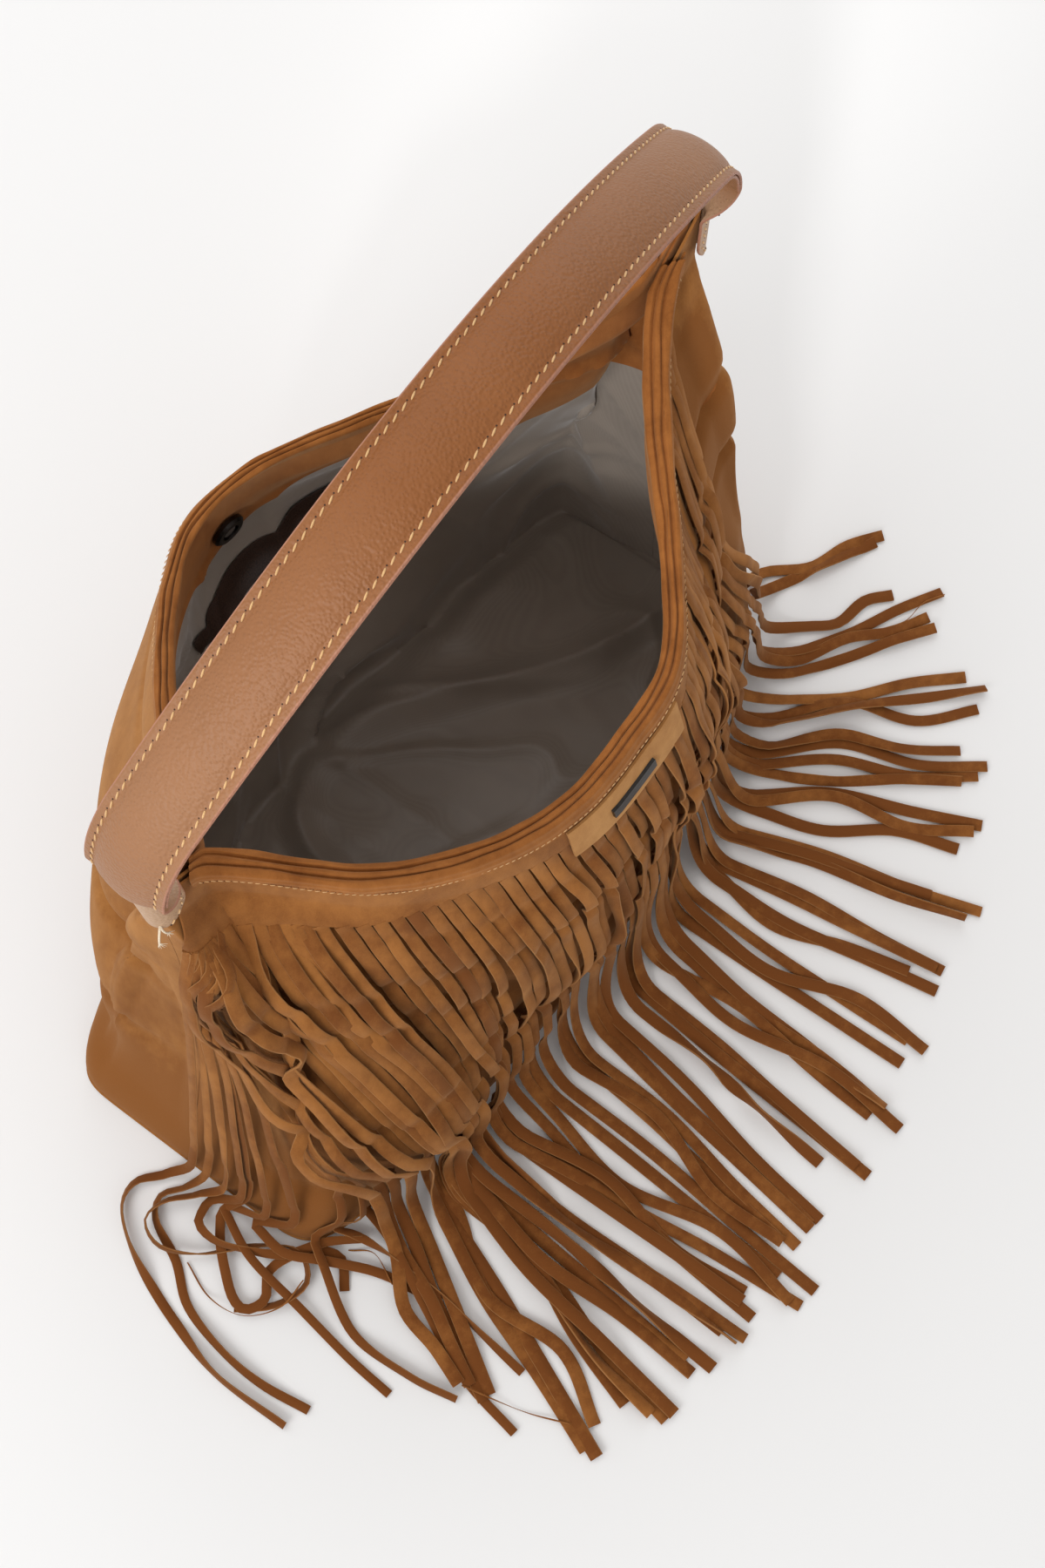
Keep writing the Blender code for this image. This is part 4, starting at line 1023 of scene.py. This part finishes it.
# The strips of the tangle come first, with negative numbers, so that the others lie on them.
for index in list(range(-len(TANGLE), 0)) + [int(k) for k in rng.permutation(STRIPS)]:
    tangled = index < 0
    share = (index + 0.5) / STRIPS
    if tangled:
        foot_column, floor_points = TANGLE[index][0], TANGLE[index][1:]
        order = len(TANGLE) + index
        top_column, aside = 4.4 + 0.25 * order, 0.5 + 0.20 * order
        drifts = np.array([foot_column, foot_column, (foot_column + aside) / 2, aside,
                           aside * 0.6 + top_column * 0.4, top_column]) - top_column
    else:
        top_column = float(np.interp(share, (0.0, 0.22, 1.0), (BAND_START + 0.2, 7.2, BAND_END - 0.2)))
        drifts = np.array([np.interp(top_column, TOPS, column) for column in DRIFTS.T])
        group = (math.floor(index / GROUP_STRIPS) + 0.5) * GROUP_STRIPS
        drifts[:2] += (group - index) * 0.10 + rng.normal(0, 0.10)
        drifts[2] += rng.normal(0, 0.08)

    # Down the front, from the slit to where the wall turns away from the hanging strip.
    x_top = float(wall(FRONT, top_column, 1.0)[0])
    start_level = float(drop_to_v(FRONT, x_top, band_depth(x_top))) + 0.002
    hung_at = np.full(len(LEAVES), float(on_body(top_column + drifts[1])))
    away = wall_normal(FRONT, hung_at[:1], LEAVES[:1])[0] * (1.0, 1.0, 0.0)
    furthest = np.argmax(wall(FRONT, hung_at, LEAVES) @ away - LEAVES * 0.004)
    leave_level = float(LEAVES[furthest]) + abs(rng.normal(0, 0.012))
    steps = int((start_level - leave_level) * FRONT_HEIGHT / RIBBON_STEP)
    level = np.linspace(start_level, leave_level, steps)
    down = (start_level - level) / (start_level - leave_level)
    sway = soft_noise(rng, steps, 26) * 0.12 * smooth(down / 0.25)
    column = on_body(top_column + np.interp(level, KNOTS, drift_curve(drifts)) + sway)
    flat = np.column_stack([column, level])
    under = on_wall.under(flat, HANGING_WAY, HANGING_HALF * 0.40)
    normals = wall_normal(FRONT, column, level)
    twist = soft_noise(rng, steps, 38) * rng.choice([0.12, 0.2, 0.3, 0.8]) * smooth(down / 0.35)
    raised = spread_out(under, 11) + np.abs(np.sin(twist)) * STRIP_WIDTH * 0.42
    raised *= smooth(down / 0.10 + 0.001)
    loose = 0.0030 + (LOOSER if 0 <= index < LOOSER_STRIPS else LOOSE) * rng.random()
    offset = FRINGE_GAP + FRINGE / 2 + STAND_OFF + raised + loose * smooth(down / 0.35)
    path = wall(FRONT, column, level) + normals * (slouch(FRONT, column, level) + offset)[:, None]
    on_wall.cover(flat, HANGING_WAY, HANGING_HALF, raised + FRINGE * 1.05)
    straight = path[0] + (path[-1] - path[0]) * down[:, None]
    free = ((straight - path) * normals).sum(1)
    hangs = 0.75 * smooth((free - 0.001) / 0.005)[:, None]
    path = path * (1 - hangs) + straight * hangs

    # Over the floor, from the foot to the end, lying on what is there already.
    if tangled:
        floor_path = bend_through(floor_points, RIBBON_STEP)
    else:
        toe = wall(FRONT, float(np.clip(top_column + drifts[0], 0.5, COLUMNS - 0.5)), 0.0)[:2]
        pulled = share * 0.45 + (group + 0.5) / STRIPS * 0.55 + rng.normal(0, 0.005)
        slide = float(np.interp(pulled, FLOW, np.arange(len(FLOW))))
        goal = np.array([np.interp(slide, np.arange(len(ENDS)), spots) for spots in ENDS.T])
        flow = unit(goal - toe)
        reach_out = 0.030 + 0.008 * rng.random()
        land = toe + unit(flow * 0.6 + normals[-1][:2] * 0.4) * reach_out
        goal = goal + flow * rng.normal(0, 0.008) - flow * 0.004
        side_step = np.array([-flow[1], flow[0]])
        gap = goal - land
        bow = rng.normal(0, 0.004)
        floor_path = bend_through([land, land + gap * 0.33 + side_step * bow,
                                   land + gap * 0.68 - side_step * bow * rng.uniform(-0.6, 0.9), goal],
                                  RIBBON_STEP)
    drift = unit(np.gradient(floor_path, axis=0))
    sideways = np.column_stack([-drift[:, 1], drift[:, 0]])
    count = len(floor_path)
    edgewise = rng.random() < (TANGLE_ON_EDGE if tangled else ON_EDGE)
    floor_twist = soft_noise(rng, count, 22) * (1.0 if edgewise else 0.22)
    if edgewise and tangled:
        floor_twist += 0.9 * smooth(np.arange(count) / 8.0)
    lying = spread_out(on_floor.under(floor_path, sideways, STRIP_WIDTH * 0.40), 6)
    lying += np.abs(np.sin(floor_twist)) * STRIP_WIDTH * 0.42 + FRINGE / 2 + FLOOR_GAP
    on_floor.cover(floor_path, sideways, STRIP_WIDTH * 0.45, lying + FRINGE / 2)
    floor_line = np.column_stack([floor_path, lying])

    # The bend between the two, and the way that the whole strip faces.
    begin, begin_way = path[-1], unit(path[-1] - path[-3])
    finish, finish_way = floor_line[0], unit(floor_line[2] - floor_line[0])
    if tangled:
        finish_way = unit(finish_way * 0.8 + normals[-1] * (0.4, 0.4, 0.0))
    reach = np.linalg.norm(finish - begin)
    t = np.linspace(0, 1, max(4, int(reach / RIBBON_STEP)))[1:-1, None]
    bridge = ((1 + 2 * t) * (1 - t) ** 2 * begin
              + t * (1 - t) ** 2 * (begin_way - plumb * 0.2) * reach * 1.1
              + t ** 2 * (3 - 2 * t) * finish + t ** 2 * (t - 1) * finish_way * reach * 0.9)
    bridge[:, 2] = np.maximum(bridge[:, 2], 0.001)
    line = np.concatenate([path, bridge, floor_line])
    way = unit(np.gradient(line, axis=0))
    facing = np.concatenate([normals, unit(normals[-1] * (1 - t) + plumb * t), np.tile(plumb, (count, 1))])
    facing = unit(facing - way * (facing * way).sum(1, keepdims=True))
    bridge_twist = twist[-1] * (1 - t[:, 0]) + floor_twist[0] * t[:, 0]
    facing = turned_about(facing, way, np.concatenate([twist, bridge_twist, floor_twist]))
    lowest = np.abs(np.cross(way, facing)[:, 2]) * STRIP_WIDTH / 2 + FRINGE / 2 + STAND_OFF
    line[:, 2] = np.maximum(line[:, 2], lowest)
    lines.append(line)
    facings.append(facing)
    wide = rng.uniform(0.90, 1.02) + (WIDER if 0 <= index < WIDER_STRIPS else 0.0)
    wide -= TANGLE_NARROWER if tangled else 0.0
    sizes.append(np.full(len(line), wide))
    # Painted shade: each strip darkens along its run towards its end on the floor.
    shade = (TANGLE_FLOOR_SHADE if tangled else FLOOR_SHADE) * smooth((np.linspace(0, 1, len(line)) - 0.4) / 0.3)
    tones_and_shade.append(rng.normal(0, 0.05) + soft_noise(rng, len(line), 20) * 0.04 - shade)

fringe_suede, tree, nap = suede_material("fringe_suede", (0.33, 0.128, 0.031), (0.165, 0.052, 0.011),
                                         24.0)
# Random tone of the strips, together with their painted shade on the floor.
tree.links.new(mask(tree, "tone_and_shade"), nap.inputs["Tone"])
# Painted highlight: the ribbons' edges are lightened as if light caught them.
rim = calc(tree, "MULTIPLY", mask(tree, "rim"), 0.45)
paint(tree, colour_mix(tree, rim, nap.outputs["Color"], (0.42, 0.215, 0.080)))

ribbons = grown("fringe_ribbons", lines, {"facing": facings, "size": sizes, "tone_and_shade": tones_and_shade},
                ribbon_tree(), Width=STRIP_WIDTH, Thickness=FRINGE, Rounding=0.0004,
                Suede=fringe_suede)
band = thin_shell("fringe_band", outer[:, ::2], inner[:, ::2], fringe_suede)
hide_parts("fringe_panel")
for piece in (band, ribbons):
    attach(piece, "root")

# Shoulder strap.
# Smooth caramel leather is padded along its middle and stitched flat along both margins, with
# painted edges. Its ends turn down round the tips of the mouth as rounded, stitched tongues.
GAP = 0.0003
STRAP_WIDTH = 0.038
STRAP_TOP = TIP_HEIGHT + 0.140
STRAP_LEAN = -0.022
SHOULDER_X = MOUTH_LENGTH / 2 - 0.0195
STRAP_LEG_X = MOUTH_LENGTH / 2 + 0.0024
TONGUE_DROP, TONGUE_ROUND, FOLD_START = 0.034, 0.017, 0.058
EDGE_THICK, CROWN, MARGIN, UNDER = 0.0016, 0.0030, 0.0055, 0.0014
SEAM_INSET, CORNER = 0.0040, 0.00045
LEAST_TONGUE, RIGHT_NARROWING = 0.3, 0.27
FLAT_SHARE, TOP_POINTS, UNDER_POINTS = 1 - 0.045, 45, 17
STEEP = 0.095 / (MOUTH_LENGTH / 2) ** 2
FOLD_FRONT = TIP_WIDTH / 2 + BAND_OUT + 0.0007
FOLD_BACK = TIP_WIDTH / 2 + 0.0007
FOLD_RADIUS, FOLD_SHIFT = (FOLD_FRONT + FOLD_BACK) / 2, (FOLD_BACK - FOLD_FRONT) / 2

slope = math.atan(2 * STEEP * SHOULDER_X)
radius = (STRAP_LEG_X - SHOULDER_X) / (1 - math.sin(slope))
shoulder_z = STRAP_TOP - STEEP * SHOULDER_X ** 2
x = np.linspace(0.0, SHOULDER_X, 120)
angle = np.linspace(slope, math.pi / 2, 60)[1:]
arch = np.column_stack([x, STRAP_TOP - STEEP * x * x])
bend = np.column_stack([SHOULDER_X + radius * (np.sin(angle) - math.sin(slope)),
                        shoulder_z - radius * (math.cos(slope) - np.cos(angle))])
half_path = np.concatenate([arch, bend, [[STRAP_LEG_X, TIP_HEIGHT - TONGUE_DROP]]])
path = even_points(np.concatenate([half_path[::-1] * [-1, 1], half_path[1:]]), 360)
x, z = path.T
spine = np.column_stack([x, STRAP_LEAN * (1 - (x / STRAP_LEG_X) ** 2), z])
before, after = np.roll(path, 1, 0), np.roll(path, -1, 0)
before[0], after[-1] = path[0] - (path[1] - path[0]), path[-1] + (path[-1] - path[-2])
strap_out = unit(np.column_stack([before[:, 1] - after[:, 1], np.zeros(len(x)),
                                  after[:, 0] - before[:, 0]]))
run = np.concatenate([[0.0], np.cumsum(np.linalg.norm(np.diff(spine, axis=0), axis=1))])
from_end = np.minimum(run, run[-1] - run)
fold = 1 - smooth((from_end - TONGUE_DROP) / (FOLD_START - TONGUE_DROP))
round_off = np.sqrt(np.clip(1 - (1 - from_end / TONGUE_ROUND) ** 2, 0, 1))
strap_half = STRAP_WIDTH / 2 * np.where(from_end < TONGUE_ROUND, np.maximum(LEAST_TONGUE, round_off),
                                       1.0)
narrowing = RIGHT_NARROWING * smooth((0.060 - from_end) / 0.03)
strap_half = strap_half * np.where(x > 0, 1 - narrowing, 1.0)
STATIONS = np.arange(len(run))


def strap_surface(station, offset, height):
    """Points on or over the strap, at stations along it and offsets across it, and its normals."""
    fold_here = np.interp(station, STATIONS, fold)
    point = np.stack([np.interp(station, STATIONS, column) for column in spine.T], -1)
    out = unit(np.stack([np.interp(station, STATIONS, column) for column in strap_out.T], -1))
    bend_length = FOLD_RADIUS * math.pi / 2
    rate = np.maximum(fold_here, 1e-6) * math.pi / 2 / bend_length
    curved = np.minimum(np.abs(offset), bend_length)
    straight = np.abs(offset) - curved
    turn = rate * curved
    sideways = np.sin(turn) / rate + straight * np.cos(turn)
    inward = (1 - np.cos(turn)) / rate + straight * np.sin(turn)
    sign = np.sign(offset)
    place = point - out * inward[..., None]
    place[..., 1] += sign * sideways + FOLD_SHIFT * fold_here
    normal = out * np.cos(turn)[..., None]
    normal[..., 1] += sign * np.sin(turn)
    return place + normal * height[..., None], normal


def strap_top_height(station, offset):
    """Height of the strap's crowned and grooved upper face over its flat inner side."""
    inner = 1 - (np.abs(offset) / (STRAP_WIDTH / 2 - MARGIN)) ** 2
    crown = CROWN * (1 - np.interp(station, STATIONS, fold)) * np.maximum(0.0, inner) ** 0.8
    groove = -0.00025 * np.exp(-((np.abs(offset) - STRAP_WIDTH / 2 + SEAM_INSET) / 0.0012) ** 2)
    return EDGE_THICK + crown + groove


def strap_loop(low, high):
    """Closed section of the strap: shares from -1 to 1 across it, heights and an edge mask."""
    rim = [(0.975, high - CORNER * 0.35, 1.0), (0.995, high - CORNER, 1.0),
           (1.0, (high + low) / 2, 1.0), (0.995, low + CORNER, 1.0), (0.975, low + CORNER * 0.2, 1.0)]
    over = [(share * FLAT_SHARE, high, 0.0) for share in np.linspace(-1, 1, TOP_POINTS)]
    under = [(share * FLAT_SHARE, low, 0.0) for share in np.linspace(1, -1, UNDER_POINTS)]
    return np.array(over + rim + under + [(-across, level, 1.0) for across, level, _ in rim[::-1]]).T


def swept_leather(name, stations, low, high, crowned):
    """Leather body along the strap, with masks of its painted edge and of its bent ends."""
    across, height, edge = strap_loop(low, high)
    middle = (low + high) / 2
    rows, bends = [], []
    for station in stations:
        offset = across * np.interp(station, STATIONS, strap_half)
        here = np.full_like(offset, station)
        level = height.copy()
        if crowned:
            level[:TOP_POINTS] = strap_top_height(here, offset)[:TOP_POINTS]
        thin = 0.55 if station in (stations[0], stations[-1]) else 1.0
        rows.append(strap_surface(here, offset, middle + (level - middle) * thin)[0])
        bends.append(np.interp(here, STATIONS, fold))
    count = len(across)
    points = np.concatenate(rows)
    faces = grid_faces(len(rows), count, closed=True)
    faces.append(tuple(range(count)))
    faces.append(tuple(range(len(points) - count, len(points)))[::-1])
    item = add_mesh(name, points, faces, strap_leather, sharp=60.0)
    finder = KDTree(len(points))
    for k, point in enumerate(points):
        finder.insert(point, k)
    finder.balance()
    nearest = [finder.find(vertex.co)[1] for vertex in item.data.vertices]
    for field, values in (("edge", np.tile(edge, len(rows))), ("bend", np.concatenate(bends))):
        item.data.attributes.new(field, "FLOAT", "POINT").data.foreach_set(
            "value", values.astype(np.float32)[nearest])
    return item


strap_leather, tree = new_material("strap_leather", Specular_IOR_Level=0.26)
place = object_place(tree)
grain = node(tree, "ShaderNodeTexVoronoi", {"Vector": place, "Scale": 760.0, "Randomness": 0.95},
             feature="SMOOTH_F1").outputs["Distance"]
patch = noise(tree, place, 26.0, 4.0, 0.6)
colour = colour_mix(tree, patch, (0.195, 0.066, 0.016), (0.270, 0.098, 0.028))
# Painted highlight: the leather pales towards both ends and where it bends round the tips, standing for
# light glancing off it.
along = calc(tree, "ABSOLUTE", node(tree, "ShaderNodeSeparateXYZ", {0: place}).outputs["X"])
pale = calc(tree, "MULTIPLY_ADD", mask(tree, "bend"), 0.8, ranged(tree, along, 0.0, 0.28, 0.04, 0.16))
colour = colour_mix(tree, pale, colour, (0.44, 0.275, 0.165))
colour = colour_mix(tree, mask(tree, "edge"), colour, (0.38, 0.175, 0.108))
speck = node(tree, "ShaderNodeTexVoronoi", {"Vector": place, "Scale": 32.0}).outputs["Distance"]
colour = colour_mix(tree, calc(tree, "LESS_THAN", speck, 0.022), colour, (0.075, 0.030, 0.014))
paint(tree, colour, ranged(tree, patch, 0.42, 0.54), grain, 0.9, 0.0006, invert=True)

tongue_steps = np.interp([0.0, 0.0005, 0.0015, 0.003, 0.005, 0.0075, 0.0105, 0.0135, TONGUE_ROUND],
                         run, STATIONS)
whole = np.arange(np.ceil(tongue_steps[-1]) + 1, len(run) - np.ceil(tongue_steps[-1]) - 2)
stations = np.concatenate([tongue_steps, whole, (len(run) - 1 - tongue_steps)[::-1]])
strap = swept_leather("leather_strap_top", stations, 0.0, EDGE_THICK, True)
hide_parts("strap_top")
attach(strap, "root")

clear = np.nonzero(fold <= 0.0)[0]
under = swept_leather("leather_strap_underside", np.arange(clear[0] + 1, clear[-1]).astype(float),
                      -GAP - UNDER, -GAP, False)
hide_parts("strap_underside")
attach(under, "root")

SEAM_START, TONGUE_SEAM = 0.046, (0.034, 0.0035)
rows = []
seam = np.linspace(*np.interp([SEAM_START, run[-1] - SEAM_START], run, STATIONS), 600)
for sign in (-1, 1):
    offset = np.full_like(seam, sign * (STRAP_WIDTH / 2 - SEAM_INSET))
    rows.append(strap_surface(seam, offset, strap_top_height(seam, offset) - THREAD_SINK))
left_end = np.interp(np.linspace(*TONGUE_SEAM, 60), run, STATIONS)
for station in (left_end, len(run) - 1 - left_end):
    for sign in (-1, 1):
        offset = sign * np.maximum(np.interp(station, STATIONS, strap_half) - 0.0030, 0.001)
        rows.append(strap_surface(station, offset, np.full_like(offset, EDGE_THICK - THREAD_SINK)))
strap_stitches = stitched("strap_stitches", rows, Pitch=0.0050, Length=0.0038, Thickness=0.00046,
                          Slant=0.28, Hole=0.00050)
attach(strap_stitches, "root")

# Name tab and its bar.
# A small oblong of paler suede is sewn over the band's middle, with a plain dark metal bar across it.
TAB_SIZE = (0.077, 0.026)
TAB_X, TAB_DROP = -0.008, 0.013
TAB_ROUNDING = 0.0002

tab_suede = suede_material("tab_suede", (0.47, 0.235, 0.080), (0.33, 0.145, 0.043), 40.0)[0]
down, along = oblong(20, 60)
x = TAB_X + along * TAB_SIZE[0] / 2
levels = drop_to_v(FRONT, x, TAB_DROP + TAB_SIZE[1] / 2 + down * TAB_SIZE[1] / 2)
columns = wall_columns(FRONT, x, levels)
rim = np.minimum(np.minimum(1 - np.abs(down), (1 - np.abs(along)) * 3), 0.10) / 0.10
lift = BAND_OUT + EDGE_GAP + SUEDE + TAB_ROUNDING * np.sqrt(rim) - TAB_ROUNDING
face, normals = body_layer(FRONT, columns, levels, lift=lift)
tab = thin_shell("suede_name_tab", face, face - normals * SUEDE * 0.95, tab_suede)
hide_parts("name_tab")
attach(tab, "root")
plate("tab_bar", gunmetal)

# Loose thread end.
# Two frayed strands of the strap's pale thread stand out below the left tongue.
cream_thread = thread_material("cream_thread", (0.90, 0.80, 0.62), (0.62, 0.46, 0.30))
FIBRE_STEP = 0.0004
tuft_rng = np.random.default_rng(4)
tuft_lines, tuft_sizes = [], []
tuft_root, tuft_way = strap_surface(np.array([2.0]), np.array([-0.004]), np.array([EDGE_THICK]))
root, outward_way = tuft_root[0], tuft_way[0]
for bend_aside in (-1.0, 1.0):
    swing = np.array([0.0022 * bend_aside, -0.0006, 0.0])
    strand = bend_through([root - outward_way * 0.0008, root + outward_way * 0.0010 + swing * 0.2,
                           root + outward_way * 0.0028 + swing * 0.8 - plumb * 0.0028,
                           root + outward_way * 0.0030 + swing * 1.4 - plumb * 0.0072], FIBRE_STEP)
    tuft_lines.append(strand)
    tuft_sizes.append(np.linspace(1.0, 0.75, len(strand)))
    for _ in range(9):
        stray = tuft_rng.normal(0, 0.0011, 3)
        fibre = bend_through([strand[-5], strand[-2] + stray * 0.4, strand[-1] + stray - plumb * 0.0016],
                             FIBRE_STEP)
        tuft_lines.append(fibre)
        tuft_sizes.append(np.linspace(0.34, 0.12, len(fibre)))


def thread_tree():
    """Geometry Nodes: round thread along lines."""
    tree, given = new_group("round_thread", "GeometryNodeTree", {
        "Geometry": "Geometry", "Radius": "Float", "Thread": "Material"}, {"Geometry": "Geometry"})
    line = node(tree, "GeometryNodeMeshToCurve", {"Mesh": given["Geometry"]}).outputs[0]
    ring = node(tree, "GeometryNodeCurvePrimitiveCircle", {"Resolution": 6,
                                                           "Radius": given["Radius"]}).outputs[0]
    swept(tree, line, ring, given["Thread"])
    return tree


ROUND_THREAD = thread_tree()
tuft = grown("loose_thread_end", tuft_lines, {"size": tuft_sizes}, ROUND_THREAD, Radius=0.00055,
             Thread=cream_thread)
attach(tuft, "root")

# Thin suede threads on the floor.
# A few hair-thin slivers that came off with the cutting lie in arcs among the fringe.
SLIVERS = (
    ((-0.290, -0.044), (-0.297, -0.064), (-0.294, -0.084), (-0.279, -0.097), (-0.262, -0.098)),
    ((-0.2365, -0.107), (-0.230, -0.119), (-0.237, -0.136)),
    ((-0.256, -0.194), (-0.248, -0.226), (-0.239, -0.249)),
    ((0.2475, -0.158), (0.236, -0.151), (0.222, -0.149), (0.209, -0.140)))
sliver_lines, sliver_sizes = [], []
for spots in SLIVERS:
    flat = bend_through([(*spot, 0.0) for spot in spots], 0.002)
    lift = on_floor.under(flat[:, :2], np.zeros((1, 2)), 0.0)
    flat[:, 2] = spread_out(lift, 8) + 0.0006
    sliver_lines.append(flat)
    sliver_sizes.append(0.7 + 0.3 * np.sin(np.linspace(0.3, 9.0, len(flat))))
slivers = grown("suede_slivers", sliver_lines, {"size": sliver_sizes}, ROUND_THREAD, Radius=0.00045,
                Thread=fringe_suede)
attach(slivers, "root")
